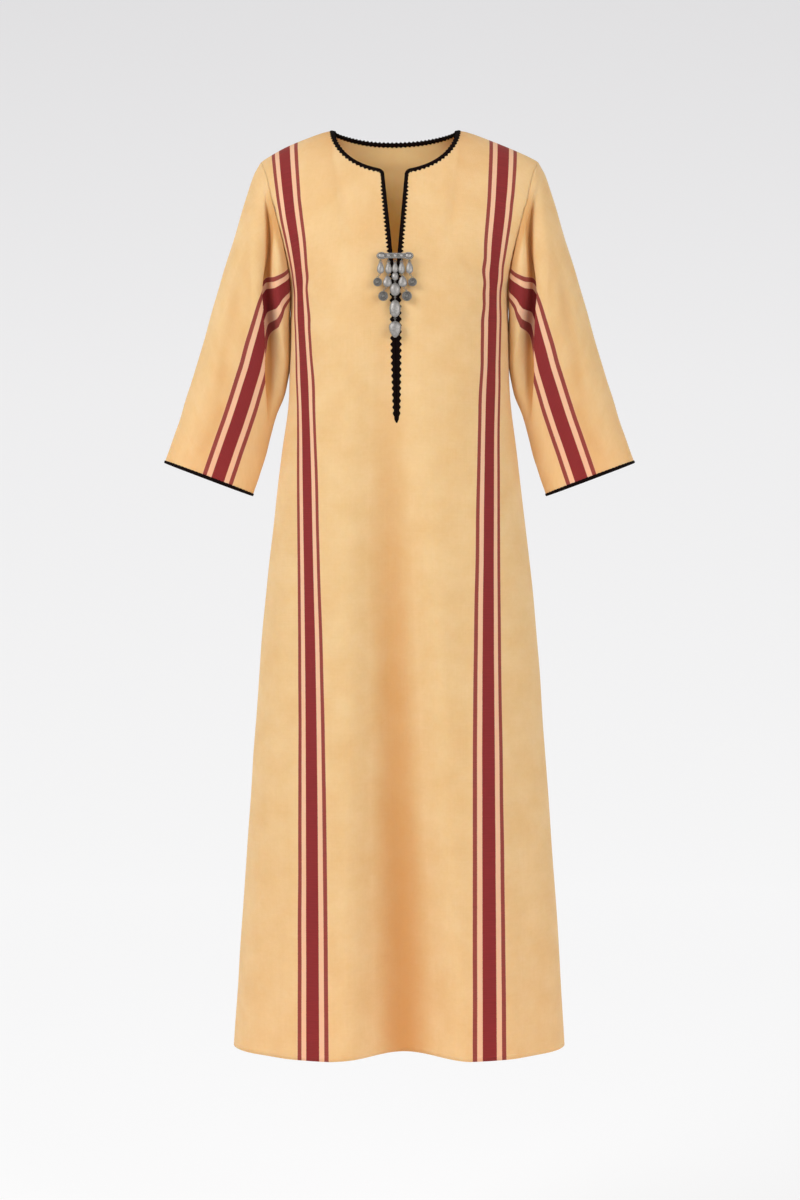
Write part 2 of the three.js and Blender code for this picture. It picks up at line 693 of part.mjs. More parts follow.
// Stations every half scallop: the lips are widest at each scallop's tip
const TANGENT_REACH = 3;
function edgingStations(hand) {
  const path = openingEdge(hand);
  const sheets = [halfPanel(FRONT, frontColumns, hand), halfPanel(BACK, backColumns, hand)];
  const outer = sheets.flatMap((sheet) => trianglesOf(sheet.points, sheet.faces));
  const inner = sheets.flatMap((sheet) => {
    const moved = sheet.points.map((p, i) => p.clone().addScaledVector(sheet.normals[i], -CLOTH));
    return trianglesOf(moved, sheet.faces);
  });
  const lengths = [0];
  for (let i = 1; i < path.length; i++) {
    lengths.push(lengths[i - 1] + path[i].point.distanceTo(path[i - 1].point));
  }
  const total = lengths[lengths.length - 1];
  const placeAt = (mark) => {
    let i = 0;
    while (i < path.length - 2 && lengths[i + 1] < mark) i++;
    return { i, t: clamp((mark - lengths[i]) / (lengths[i + 1] - lengths[i]), 0, 1) };
  };
  const pointAt = (mark) => {
    const { i, t } = placeAt(mark);
    return path[i].point.clone().lerp(path[i + 1].point, t);
  };
  const corner = path.findIndex((place) => place.across !== 0);
  const slit = lengths[corner];
  const slitHalves = 2 * Math.round(slit / SCALLOP.slit);
  const neckHalves = 2 * Math.round((total - slit) / SCALLOP.neck);
  const marks = [];
  for (let i = 0; i < slitHalves; i++) marks.push((slit * i) / slitHalves);
  for (let i = 0; i <= neckHalves; i++) marks.push(slit + ((total - slit) * i) / neckHalves);
  const stations = marks.map((mark, m) => {
    const { i, t } = placeAt(mark);
    const [from, to] = [path[i], path[i + 1]];
    const near = t > 0.5 ? to : from;
    const panel = near.panel;
    const same = from.panel === to.panel;
    const across = same ? THREE.MathUtils.lerp(from.across, to.across, t) : near.across;
    const up = same ? THREE.MathUtils.lerp(from.up, to.up, t) : near.up;
    const edge = pointAt(mark);
    const normal = from.normal.clone().lerp(to.normal, t);
    const tangent = pointAt(mark + TANGENT_REACH).sub(pointAt(mark - TANGENT_REACH)).normalize();
    if (m === marks.length - 1) tangent.set(-hand, 0, 0);
    const onto = tangent.clone().cross(normal).multiplyScalar(hand).normalize();
    const width = read(LIPS, "width", mark, "at") + (m % 2 ? read(LIPS, "height", mark, "at") : 0);
    const far = walk(panel, across, up, hand, onto, width);
    const lipNormal = bodyNormal(panel, far.across, far.up, hand);
    const reach = bodyPoint(panel, far.across, far.up, hand).sub(bodyPoint(panel, across, up, hand));
    const aim = reach.add(edge);
    const lip = nearest(outer, aim);
    const lipInside = nearest(inner, lip.clone().addScaledVector(lipNormal, -CLOTH));
    const edgeInside = edge.clone().addScaledVector(normal, -CLOTH);
    const over = bulge(outer, edge, lip, normal);
    const under = bulge(inner, edgeInside, lipInside, normal.clone().negate());
    return { edge, edgeInside, normal, onto, lip, lipInside, lipNormal, over, under };
  });
  for (const key of ["over", "under"]) {
    const own = stations.map((station) => station[key]);
    stations.forEach((s, i) => (s[key] = Math.max(...own.slice(Math.max(0, i - 1), i + 2))));
  }
  return stations;
}

function neckEdging() {
  const [left, right] = [1, -1].map(edgingStations);
  for (const value of Object.values(left[left.length - 1])) if (value.isVector3) value.x = 0;
  return edgingGeometry([...left, ...right.slice(0, -1).reverse()], false);
}

// The narrow edging round a cuff, on the sleeve's own last ring
const CUFF_LIP = 0.985;
function cuffEdging() {
  const last = SLEEVE_STEPS[SLEEVE_STEPS.length - 2];
  const share = (CUFF_LIP - last) / (1 - last);
  const stations = ringAngles.slice(0, -1).map((angle) => {
    const normal = sleeveNormal(1, angle);
    const edge = sleevePoint(1, angle);
    const edgeInside = edge.clone().addScaledVector(normal, -CLOTH);
    const above = sleevePoint(last, angle);
    const aboveInside = above.clone().addScaledVector(sleeveNormal(last, angle), -CLOTH);
    const lip = above.lerp(edge, share);
    const lipInside = aboveInside.lerp(edgeInside, share);
    const onto = lip.clone().sub(edge).normalize();
    return { edge, edgeInside, normal, onto, lip, lipInside, lipNormal: normal };
  });
  return edgingGeometry(stations, true);
}

// Solids that are joined: a geometry becomes a solid once its shared points are merged
function solidOf(geometry) {
  const bare = geometry.clone();
  bare.deleteAttribute("normal");
  bare.deleteAttribute("uv");
  const merged = mergeVertices(bare, 1e-4);
  const mesh = new wasm.Mesh({
    numProp: 3,
    vertProperties: merged.attributes.position.array,
    triVerts: new Uint32Array(merged.index.array),
  });
  return new wasm.Manifold(mesh);
}

function joined(geometries) {
  const solid = geometries.map(solidOf).reduce((a, b) => a.add(b));
  const mesh = solid.getMesh();
  const geometry = new THREE.BufferGeometry();
  geometry.setAttribute("position", new THREE.BufferAttribute(new Float32Array(mesh.vertProperties), 3));
  geometry.setIndex([...mesh.triVerts]);
  geometry.computeVertexNormals();
  return geometry;
}

// A drop: an egg turned round its upright axis and flattened from front to back
function dropGeometry(drop) {
  const rings = 6;
  const profile = [];
  for (let i = 0; i <= rings; i++) {
    const turn = (Math.PI * i) / rings;
    const egg = (1 + drop.taper * Math.cos(turn)) / (1 + Math.abs(drop.taper) * 0.4);
    const radius = i === 0 || i === rings ? 0 : (drop.wide / 2) * Math.sin(turn) * egg;
    profile.push(new THREE.Vector2(radius, (-drop.high / 2) * Math.cos(turn)));
  }
  const around = 10;
  const geometry = new THREE.LatheGeometry(profile, around).rotateX(Math.PI / 2);
  return geometry.scale(1, drop.deep / drop.wide, 1).translate(drop.x, BAR.y, drop.z);
}

// A straight round link between two places
function linkGeometry(from, to, radius) {
  const length = from.distanceTo(to);
  const way = to.clone().sub(from).normalize();
  const turn = new THREE.Quaternion().setFromUnitVectors(new THREE.Vector3(0, 1, 0), way);
  const middle = from.clone().add(to).multiplyScalar(0.5);
  const geometry = new THREE.CylinderGeometry(radius, radius, length, 6).applyQuaternion(turn);
  return geometry.translate(middle.x, middle.y, middle.z);
}

// Rings are closed rounds of wire. A strand's ring hangs through the bar's ring below its middle.
function ringGeometry(x, z, acrossBar) {
  const geometry = new THREE.TorusGeometry(RING.radius, RING.wire, 5, 8);
  if (acrossBar) geometry.rotateY(Math.PI / 2);
  else geometry.rotateX(Math.PI / 2);
  return geometry.translate(x, BAR.y, z);
}
const STRAND_RING_Z = HINGE_Z - 2 * RING.radius + 2 * RING.wire + RING.play;

function strandGeometry(strand) {
  const links = strand.drops.slice(1).map((drop, i) => {
    const above = strand.drops[i];
    const from = new THREE.Vector3(above.x, BAR.y, above.z);
    return linkGeometry(from, new THREE.Vector3(drop.x, BAR.y, drop.z), LINK_RADIUS);
  });
  return joined([ringGeometry(strand.x, STRAND_RING_Z, false), ...strand.drops.map(dropGeometry), ...links]);
}

// The bar: a flattened rod with an oval at each end, three bosses, a ring for each strand, and two
// short posts behind it that stand on the edging beside the slit
function barGeometry() {
  const rod = new THREE.CylinderGeometry(1, 1, 2 * BAR.half, 12).rotateZ(Math.PI / 2);
  rod.scale(1, BAR.deep, BAR.high).translate(0, BAR.y, BAR.z);
  const pieces = [rod];
  for (const side of [-1, 1]) {
    const oval = new THREE.SphereGeometry(1, 10, 7).scale(BAR_ENDS.wide, BAR_ENDS.deep, BAR_ENDS.high);
    pieces.push(oval.translate(side * BAR_ENDS.x, BAR.y, BAR.z));
    const seat = bodyPoint(FRONT, 0.03, upNear(BAR.z), 1);
    const back = seat.y - EDGING.gap - EDGING.wall - SEAM - 0.2;
    const from = new THREE.Vector3(side * STAND_OFF.x, back, BAR.z);
    const to = new THREE.Vector3(side * STAND_OFF.x, BAR.y, BAR.z);
    pieces.push(linkGeometry(from, to, STAND_OFF.radius));
  }
  for (const x of BOSSES) {
    const boss = new THREE.SphereGeometry(BOSS_RADIUS, 8, 5).scale(1, 1, 1.1);
    pieces.push(boss.translate(x, BAR.y - 0.8, BAR.z));
  }
  for (const strand of allStrands) pieces.push(ringGeometry(strand.x, HINGE_Z, true));
  return joined(pieces);
}

// How far up the front a height lies, near the middle
function upNear(z) {
  if (z <= CHEST_Z) return heightShare(z);
  const lift = (z - CHEST_Z) / (crownLine(FRONT, 0) - CHEST_Z);
  return 1 - Math.sqrt(1 - lift);
}

// The strands on both sides of the middle one
const sideName = { 1: "left", "-1": "right" };
const allStrands = STRANDS.flatMap((strand) => {
  if (strand.x === 0) return [strand];
  return [1, -1].map((side) => ({
    name: `${strand.name}_${sideName[side]}`,
    x: strand.x * side,
    drops: strand.drops.map((drop) => ({ ...drop, x: drop.x * side })),
  }));
});

function meshOf(name, geometry, material) {
  const mesh = new THREE.Mesh(geometry, material);
  mesh.name = name;
  return mesh;
}

const sleeve = sleeveGeometry();
const cuff = cuffEdging();
const BROOCH_X = leanAt(0, BAR.z);
const dress = new THREE.Group();
dress.add(
  meshOf("front_upper_left", leaned(frontPart(frontColumns, 1, true)), CLOTH_COLOUR),
  meshOf("front_upper_right", leaned(frontPart(frontColumns, -1, true)), CLOTH_COLOUR),
  meshOf("front_skirt_left", leaned(frontPart(frontColumns, 1, false)), CLOTH_COLOUR),
  meshOf("front_skirt_right", leaned(frontPart(frontColumns, -1, false)), CLOTH_COLOUR),
  meshOf("back", leaned(backGeometry(backColumns)), CLOTH_COLOUR),
  meshOf("sleeve_left", sleeve, CLOTH_COLOUR),
  meshOf("sleeve_right", mirrored(sleeve), CLOTH_COLOUR),
  meshOf("neck_edging", leaned(neckEdging()), BLACK_THREAD),
  meshOf("cuff_edging_left", cuff, BLACK_THREAD),
  meshOf("cuff_edging_right", mirrored(cuff), BLACK_THREAD),
  meshOf("brooch_bar", barGeometry().translate(BROOCH_X, 0, 0), METAL),
  ...allStrands.map((s) => meshOf(s.name, strandGeometry(s).translate(BROOCH_X, 0, 0), METAL)),
);

export default dress;
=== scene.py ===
import math

import bpy
import numpy as np
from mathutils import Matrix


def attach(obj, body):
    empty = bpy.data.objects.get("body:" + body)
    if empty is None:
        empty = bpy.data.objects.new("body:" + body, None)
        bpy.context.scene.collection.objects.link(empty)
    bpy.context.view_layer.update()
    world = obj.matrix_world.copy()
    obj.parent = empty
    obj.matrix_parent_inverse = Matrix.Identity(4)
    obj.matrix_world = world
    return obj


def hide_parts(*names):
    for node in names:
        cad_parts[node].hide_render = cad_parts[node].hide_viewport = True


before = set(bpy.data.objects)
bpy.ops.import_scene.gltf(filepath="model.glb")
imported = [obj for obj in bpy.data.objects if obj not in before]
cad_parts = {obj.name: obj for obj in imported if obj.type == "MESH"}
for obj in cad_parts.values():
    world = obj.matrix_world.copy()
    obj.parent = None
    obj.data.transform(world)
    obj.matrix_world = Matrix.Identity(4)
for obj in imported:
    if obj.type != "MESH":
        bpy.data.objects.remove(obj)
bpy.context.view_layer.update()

# The view: straight from the front at the height of the hips, from 3.6 metres, which gives 1.5 mm a
# pixel in the plane of the shoulders.
lens = bpy.data.cameras.new("view")
lens.lens = 72
lens.sensor_width = 36
view = bpy.data.objects.new("view", lens)
view.location = (0.00075, -3.6, -0.699)
view.rotation_euler = (math.pi / 2, 0, 0)
bpy.context.scene.collection.objects.link(view)
bpy.context.scene.camera = view


# Front and back panel: one piece of light woven cloth each, golden tan with a striped band down each
# side, sewn together at the shoulders and sides. The front has the round neck and the slit cut into it.
# Sizes are millimetres down from the highest point of the shoulder, and the mesh is made in metres.
MM = 0.001
LENGTH = 1368
CHEST_Z = -250
SLIT_CLOSED_Z = -231
SLIT_TIP_Z = -441
SLIT_NOTCH = 10
SLIT_TOP_HALF = 15
SLIT_SPREAD = 45
RIM = 1.7
SEAM = 0.3
NECK_HALF = 93
NECK_Z = 4
SHOULDER_HALF = 208
NECK_STAND = 4
STAND_REACH = 28
SHOULDER_DROP = 43
SHOULDER_ROUNDING = 1.6
CORNER_RADIUS = 7
FLATNESS = 0.15
SECTIONS = {
    "z": [0, -67, -103, -139, -171, -200, -229, -250, -330, -400, -480, -550, -700, -850, -1000, -1150, -1368],
    "body": [300, 276, 255, 228, 201, 180, 167, 163.5, 164, 166, 176, 185, 201, 213, 224, 234, 248],
    "front": [111, 111, 111, 111, 111, 111, 111, 111, 112, 112, 115, 118, 122, 126, 129, 132, 135],
    "back": [98, 98, 98, 98, 98, 98, 98, 98, 94, 92, 94, 99, 108, 113, 118, 123, 129],
}
ARMHOLE = {
    "z": [-44, -67, -103, -139, -171, -200, -229, -250],
    "x": [208, 199, 190, 180, 172, 166, 162, 163.5],
}
LEAN = {"z": [0, -200, -440, -900, -1368], "x": [-8, -6.4, -4, -1.5, 1.5]}
HEM_RISE = {"middle": 5, "side": 4}
FRONT = {
    "sign": -1,
    "deep": "front",
    "rounding": 1.7,
    "crown": 0,
    "drop": 72,
    "bend": 0.5,
    # top and place of each fold, place at the hem, depth and half width there
    "folds": [(-215, -20, 7, 66, 92), (-620, -150, -200, 8, 44), (-560, 150, 204, 10, 46)],
    # soft creases: from x, z to x, z, depth and half width
    "creases": [
        (-88, -78, -68, -172, 1.4, 10),
        (88, -78, 70, -172, 1.4, 10),
        (-150, -238, -92, -196, 2.6, 11),
        (150, -238, 92, -196, 2.6, 11),
        (-154, -262, -84, -300, 2.1, 14),
        (154, -262, 88, -306, 2.1, 14),
        (-150, -330, -96, -420, 1.4, 18),
        (148, -340, 100, -430, 1.4, 18),
        (-196, -128, -150, -108, 1.3, 10),
        (196, -128, 150, -108, 1.3, 10),
        (-62, -470, -58, -760, 1.4, 26),
        (92, -520, 104, -900, 1.6, 28),
    ],
}
BACK = {
    "sign": 1,
    "deep": "back",
    "rounding": 4,
    "crown": 28,
    "drop": 8,
    "bend": 0.68,
    "folds": [(-330, -60, -84, 44, 84), (-380, 60, 86, 40, 80), (-640, 150, 202, 10, 44)],
    "creases": [
        (-152, -240, -96, -180, 2.2, 12),
        (152, -240, 96, -180, 2.2, 12),
        (-150, -268, -90, -320, 2, 14),
        (150, -268, 90, -320, 2, 14),
        (-40, -30, 44, -34, 1, 10),
        (-8, -300, -2, -520, 1.3, 24),
    ],
}


def curve(table, column, at, by="z"):
    """A named column of a table, on a smooth curve through its rows."""
    x = np.array(table[by], float)
    y = np.array(table[column], float)
    last = len(x) - 1
    way = np.sign(x[-1] - x[0])
    at = np.asarray(at, float)
    i = np.zeros(at.shape, int)
    for j in range(1, last):
        i += (at - x[j]) * way > 0
    rows = np.arange(last + 1)
    before, after = np.maximum(rows - 1, 0), np.minimum(rows + 1, last)
    slope = (y[after] - y[before]) / (x[after] - x[before])
    step = x[i + 1] - x[i]
    t = np.clip((at - x[i]) / step, 0, 1)
    ease = t * t * (3 - 2 * t)
    bend = slope[i] * step * t * (1 - t) ** 2 - slope[i + 1] * step * t * t * (1 - t)
    return y[i] * (1 - ease) + y[i + 1] * ease + bend


def shoulder_line(x):
    out = np.maximum(0, np.abs(x) - NECK_HALF) / (SHOULDER_HALF - NECK_HALF)
    stand = NECK_STAND * (1 - np.exp(-((out * (SHOULDER_HALF - NECK_HALF) / STAND_REACH) ** 2)))
    return NECK_Z - stand - SHOULDER_DROP * out**SHOULDER_ROUNDING


def crown_line(panel, x):
    """The height that the panel would rise to if the neck were not cut out."""
    return shoulder_line(x) + panel["crown"] * np.maximum(0, 1 - (x / NECK_HALF) ** 2) ** 2


def neck_line(panel, x):
    across = np.minimum(1, np.abs(x) / NECK_HALF)
    line = NECK_Z - panel["drop"] * (1 - across**2) ** panel["bend"]
    if panel is BACK:
        return line
    into = np.clip(SLIT_TOP_HALF + RIM + CORNER_RADIUS - np.abs(x), 0, CORNER_RADIUS)
    return line - (CORNER_RADIUS - np.sqrt(CORNER_RADIUS**2 - into**2))


def slit_half(z):
    """Half the width of the cut: wide at the neck, a rim's width where the edgings meet."""
    closed = RIM + SEAM / 2
    top = NECK_Z - FRONT["drop"] - CORNER_RADIUS
    opened = np.clip((z - SLIT_CLOSED_Z) / (top - SLIT_CLOSED_Z), 0, 1)
    foot = np.clip((z - SLIT_TIP_Z) / SLIT_NOTCH, 0, 1)
    return np.where(z < SLIT_CLOSED_Z, closed * foot, closed + (SLIT_TOP_HALF - SEAM / 2) * opened)


def fold_in(panel, x, z):
    """How far the folds of the skirt draw it in."""
    depth = 0
    for top, top_x, hem_x, deep, half in panel["folds"]:
        down = np.maximum(0, (top - z) / (top + LENGTH))
        off = np.clip((x - (top_x + (hem_x - top_x) * down)) / (half * (0.62 + 0.38 * down)), -1, 1)
        depth = depth + deep * down**0.9 * 0.5 * (1 + np.cos(math.pi * off))
    return depth


def body_point(panel, across, up, hand):
    """A point of a panel, in millimetres. across runs from the middle, 0, to the side, 1, and up from
    the hem, -1, over the chest, 0, to the shoulder, 1. hand is 1 on the wearer's left, -1 on the right."""
    lift = 1 - (1 - np.clip(up, 0, 1)) ** 2
    z = CHEST_Z + np.minimum(up, 0) * (LENGTH + CHEST_Z)
    upper = up > 0
    body = curve(SECTIONS, "body", z)
    for turn in range(24 if np.any(upper) else 1):
        edge = np.where(upper, np.arcsin(np.minimum(1, curve(ARMHOLE, "x", z) / body)), math.pi / 2)
        x = body * np.sin(across * edge)
        z = np.where(upper, CHEST_Z + (crown_line(panel, x) - CHEST_Z) * lift, z)
        body = curve(SECTIONS, "body", z)
    if panel is FRONT:
        x = x + slit_half(z) * np.maximum(0, 1 - x / SLIT_SPREAD)
    x = x * hand
    sine = np.clip(x / body, -1, 1)
    around = np.sqrt(1 - sine**2) * (1 + FLATNESS * sine**2)
    over = np.sqrt(np.maximum(0, 1 - lift ** panel["rounding"]))
    deep = curve(SECTIONS, panel["deep"], z) * around * over - fold_in(panel, x, z) * around
    middle = HEM_RISE["middle"] * np.maximum(0, 1 - (x / 100) ** 2) * (panel is FRONT)
    rise = np.clip(-up, 0, 1) ** 6 * (middle + HEM_RISE["side"] * sine**4)
    edge = np.where(z > CHEST_Z, curve(ARMHOLE, "x", z), body)
    lean = curve(LEAN, "x", z + rise) * np.maximum(0, 1 - (x / edge) ** 2)
    return np.stack([x + lean, panel["sign"] * deep, z + rise], axis=-1)


def unit(vectors):
    return vectors / np.maximum(np.linalg.norm(vectors, axis=-1, keepdims=True), 1e-9)


def body_slopes(panel, across, up, hand, small=1e-3):
    """How a panel's point moves with across and with up."""
    here = body_point(panel, across, up, hand)
    side = np.where(across > 0.5, -small, small)
    lift = np.where(up > 0.5, -small, small)
    a = (body_point(panel, across + side, up, hand) - here) / side[..., None]
    b = (body_point(panel, across, up + lift, hand) - here) / lift[..., None]
    return here, a, b


SWELLS = [(212, 0.3, 310, 1.1, 0.55), (138, 1.9, 420, 0.2, 0.4), (96, 0.8, 176, 2.4, 0.28), (61, 2.6, 118, 0.9, 0.16)]


def relief(panel, points, across):
    """How far worn cloth stands off its smooth form: broad swells, soft creases and puckers at seams."""
    x, z = points[..., 0], points[..., 2]
    height = 0 * x
    for wide, wide_start, long, long_start, deep in SWELLS:
        over = np.sin(x * 2 * math.pi / wide + wide_start + z / 260)
        height += deep * over * np.sin(z * 2 * math.pi / long + long_start)
    for x0, z0, x1, z1, deep, half in panel["creases"]:
        run = np.array([x1 - x0, z1 - z0], float)
        long = np.linalg.norm(run)
        run /= long
        on = ((x - x0) * run[0] + (z - z0) * run[1]) / long
        off = (x - x0) * run[1] - (z - z0) * run[0]
        fade = np.clip(np.minimum(on + 0.15, 1.15 - on) / 0.4, 0, 1)
        side = off / half
        height += deep * fade**2 * (3 - 2 * fade) * (0.55 * np.exp(-((side - 1.3) ** 2)) - np.exp(-(side**2)))
    at_side = np.clip((across - 0.955) / 0.045, 0, 1) ** 2
    height += at_side * (0.35 * np.sin(z * 2 * math.pi / 15) - 0.9)
    return height


def cloth_point(panel, across, up, hand):
    """A place on the worn cloth's outer face, with the direction that it faces."""
    here, a, b = body_slopes(panel, across, up, hand)
    facing = unit(np.cross(a, b)) * -panel["sign"] * hand
    return here + facing * relief(panel, here, across)[..., None], facing


def top_of(panel, across):
    """How far up a panel goes at a place across: to the shoulder, or to the neck's edge."""
    low, high = 0 * across, 0 * across + 1
    whole = body_flat_x(panel, across, high) >= NECK_HALF - 1e-6
    for _ in range(32):
        middle = (low + high) / 2
        x, z = body_flat(panel, across, middle)
        above = z > neck_line(panel, x)
        low, high = np.where(above, low, middle), np.where(above, middle, high)
    return np.where(whole, 1, low)


def body_flat(panel, across, up):
    """x and z of a panel's point before it leans."""
    lift = 1 - (1 - np.clip(up, 0, 1)) ** 2
    z = CHEST_Z + 0 * across
    for _ in range(24):
        body = curve(SECTIONS, "body", z)
        x = body * np.sin(across * np.arcsin(np.minimum(1, curve(ARMHOLE, "x", z) / body)))
        z = CHEST_Z + (crown_line(panel, x) - CHEST_Z) * lift
    if panel is FRONT:
        x = x + slit_half(z) * np.maximum(0, 1 - x / SLIT_SPREAD)
    return x, z


def body_flat_x(panel, across, up):
    return body_flat(panel, across, up)[0]


def across_at(panel, x):
    """The place across at which the panel's top is a given distance from the middle."""
    if "top_x" not in panel:
        panel["track"] = np.linspace(0, 1, 2000) ** 1.5
        panel["top_x"] = body_flat_x(panel, panel["track"], top_of(panel, panel["track"]))
    return float(np.interp(x, panel["top_x"], panel["track"]))


# How far apart the places across stay where the neck's edge turns upright
CORNER_ROOM = 0.05


def columns_of(panel, corner_count, neck_count, shoulder_count):
    """Places across, evenly spaced along the neck's edge and then along the shoulder."""
    neck = across_at(panel, NECK_HALF)
    first = 0
    columns = [0.0]
    if panel is FRONT:
        corner = SLIT_TOP_HALF + RIM
        shares = (np.arange(1, corner_count + 1) / corner_count) ** 1.5
        columns += [across_at(panel, corner + CORNER_RADIUS * s) for s in shares]
        first = columns[-1]
    fine = neck - (neck - first) * (1 - np.linspace(0, 1, 400)) ** 3
    x, z = body_flat(panel, fine, top_of(panel, fine))
    y = body_point(panel, fine, top_of(panel, fine), 1)[:, 1]
    along = np.concatenate([[0], np.cumsum(np.linalg.norm(np.diff(np.stack([x, y, z]), axis=1), axis=0))])
    spaced = np.interp(np.arange(1, neck_count) / neck_count * along[-1], along, fine)
    spaced = np.minimum(spaced, neck - CORNER_ROOM * (1 - np.arange(1, neck_count) / neck_count))
    return np.concatenate([columns, spaced, np.linspace(neck, 1, shoulder_count + 1)]), neck


ARMHOLE_ROWS = 56
UPPER_SHARES = (1 - np.cos(np.linspace(0, math.pi, ARMHOLE_ROWS + 1))) / 2


def up_at_share(top, share):
    return 1 - np.sqrt(1 - (1 - (1 - top) ** 2) * share)


def lengths_along(points, axis):
    steps = np.linalg.norm(np.diff(points, axis=axis), axis=-1)
    start = np.zeros_like(np.take(steps, [0], axis=axis))
    return np.concatenate([start, np.cumsum(steps, axis=axis)], axis=axis)


def hollows(along, out, reach):
    """How far each place lies below the cloth around it, along a row of places. Past its ends the row
    goes on as its own turned image."""
    far = np.concatenate([2 * along[0] - along[:0:-1], along, 2 * along[-1] - along[-2::-1]])
    high = np.concatenate([2 * out[0] - out[:0:-1], out, 2 * out[-1] - out[-2::-1]])
    area = np.concatenate([[0], np.cumsum(np.diff(far) * (high[1:] + high[:-1]) / 2)])
    return (np.interp(along + reach, far, area) - np.interp(along - reach, far, area)) / (2 * reach) - out


def mesh_piece(name, points, faces, values=None):
    """A mesh object from points in millimetres, with named numbers or vectors on its points."""
    mesh = bpy.data.meshes.new(name)
    mesh.from_pydata((points * MM).tolist(), [], faces)
    for key, numbers in (values or {}).items():
        kind = "FLOAT" if numbers.ndim == 1 else "FLOAT_VECTOR"
        layer = mesh.attributes.new(key, kind, "POINT")
        layer.data.foreach_set("value" if kind == "FLOAT" else "vector", numbers.astype(np.float32).ravel())
    mesh.shade_smooth()
    mesh.update()
    piece = bpy.data.objects.new(name, mesh)
    bpy.context.scene.collection.objects.link(piece)
    return piece


# Middle line of each striped band, where it lies down the dress, and how much narrower than at the
# hem the worn band looks there, towards the side and towards the middle
BANDS = {
    "z": [0, -67, -127, -180, -230, -280, -360, -465, -640, -820, -1050, -1368],
    "left": [156, 152.4, 148.2, 142.6, 138.9, 137.7, 135.6, 132.6, 130.8, 130, 130.2, 131],
    "left_side": [1.02, 1.12, 1.24, 1.23, 1.15, 1.09, 1.08, 1.17, 1.2, 1.1, 0.98, 0.92],
    "left_middle": [1.06, 1.1, 1.13, 1.13, 1.08, 1.04, 1.04, 1.1, 1.09, 1, 0.95, 0.93],
    "right": [-174, -168, -161.6, -153.6, -148.2, -146, -141.4, -137, -133, -129.5, -127.5, -126],
    "right_side": [0.98, 1.18, 1.34, 1.36, 1.25, 1.1, 1.1, 1.2, 1.22, 1.15, 1.1, 1.02],
    "right_middle": [1.08, 1.16, 1.21, 1.2, 1.13, 1.09, 1.13, 1.25, 1.27, 1.16, 1.05, 0.98],
}


# Half the width of cloth that a hollow is measured over, for the painted shade in the fold hollows
HOLLOW_REACH = 75


def panel_piece(name, panel, corner_count, neck_count, shoulder_count, skirt_rows):
    columns, _ = columns_of(panel, corner_count, neck_count, shoulder_count)
    rows = [(columns, np.full(len(columns), up)) for up in skirt_rows]
    top = top_of(panel, columns)
    rows += [(columns, up_at_share(top, share)) for share in UPPER_SHARES]
    across = np.array([row[0] for row in rows])
    up = np.array([row[1] for row in rows])
    high, wide = across.shape
    welded = np.ones(high, bool)
    if panel is FRONT:
        welded = CHEST_Z + np.minimum(up[:, 0], 0) * (LENGTH + CHEST_Z) <= SLIT_TIP_Z + 1e-6
        welded &= up[:, 0] < 0
    points, faces, index, bands, grain, sides = [], [], {}, [], [], []
    for hand, side in ((1, "left"), (-1, "right")):
        place, _ = cloth_point(panel, across, up, hand)
        along_row = lengths_along(place, 1) + np.abs(place[:, :1, 0])
        along_column = lengths_along(place, 0)
        band = np.empty_like(along_row)
        for r in range(high):
            off = hand * (place[r, :, 0] - curve(BANDS, side, place[r, :, 2]))
            band[r] = along_row[r] - np.interp(0, off, along_row[r])
        ease = [curve(BANDS, side + "_" + way, place[..., 2]) for way in ("side", "middle")]
        band = np.where(band > 0, band * ease[0], band * ease[1])
        many = sum(len(p) for p in points)
        index[hand] = many + np.arange(high * wide).reshape(high, wide)
        points.append(place.reshape(-1, 3))
        bands.append(band.ravel())
        grain.append(np.stack([hand * along_row, along_column, 0 * along_row], axis=-1).reshape(-1, 3))
        sides.append((along_row, panel["sign"] * place[..., 1]))
    # How deep each place lies below the cloth around it, carried on the mesh for the painted shade in the fold
    # hollows
    hollow = np.zeros((2, high, wide))
    for r in range(high):
        (a, left), (b, right) = [(side[0][r], side[1][r]) for side in sides]
        low = hollows(np.concatenate([-b[::-1], a + 0.01]), np.concatenate([right[::-1], left]), HOLLOW_REACH)
        hollow[:, r] = low[wide:], low[:wide][::-1]
    index[-1][welded, 0] = index[1][welded, 0]
    for hand in (1, -1):
        i = index[hand]
        quads = np.stack([i[:-1, :-1], i[:-1, 1:], i[1:, 1:], i[1:, :-1]], axis=-1).reshape(-1, 4)
        faces.append(quads[:, ::-1] if hand * panel["sign"] > 0 else quads)
    points, faces = np.concatenate(points), np.concatenate(faces)
    used = np.unique(faces)
    renumber = np.zeros(len(points), int)
    renumber[used] = np.arange(len(used))
    values = {"band": np.concatenate(bands), "grain": np.concatenate(grain), "hollow": hollow.ravel()}
    values = {key: value[used] for key, value in values.items()}
    return mesh_piece(name, points[used], renumber[faces].tolist(), values)


# Thickness of the cloth
CLOTH = 0.9


def thicken(piece):
    """Give a sheet its thickness, with its second material on the wrong side, whose paler colour is painted light on
    the inside of the dress.
    """
    layer = piece.modifiers.new("thickness", "SOLIDIFY")
    layer.material_offset = 1
    layer.thickness = CLOTH * MM
    layer.offset = -1


def skirt_rows(count, *kept):
    spread = np.linspace(-1, 0, count, endpoint=False)
    kept = [(z - CHEST_Z) / (LENGTH + CHEST_Z) for z in kept]
    return np.unique(np.concatenate([spread, kept]))


front = panel_piece("front_cloth", FRONT, 8, 30, 26, skirt_rows(150, SLIT_TIP_Z, SLIT_TIP_Z + SLIT_NOTCH, -436))
back = panel_piece("back_cloth", BACK, 0, 34, 26, skirt_rows(150))


def paint(red, green, blue):
    """A colour as it is seen on a screen, 0 to 255, as Blender's shader takes it."""
    shares = [c / 255 for c in (red, green, blue)]
    return tuple(s / 12.92 if s <= 0.04045 else ((s + 0.055) / 1.055) ** 2.4 for s in shares) + (1,)


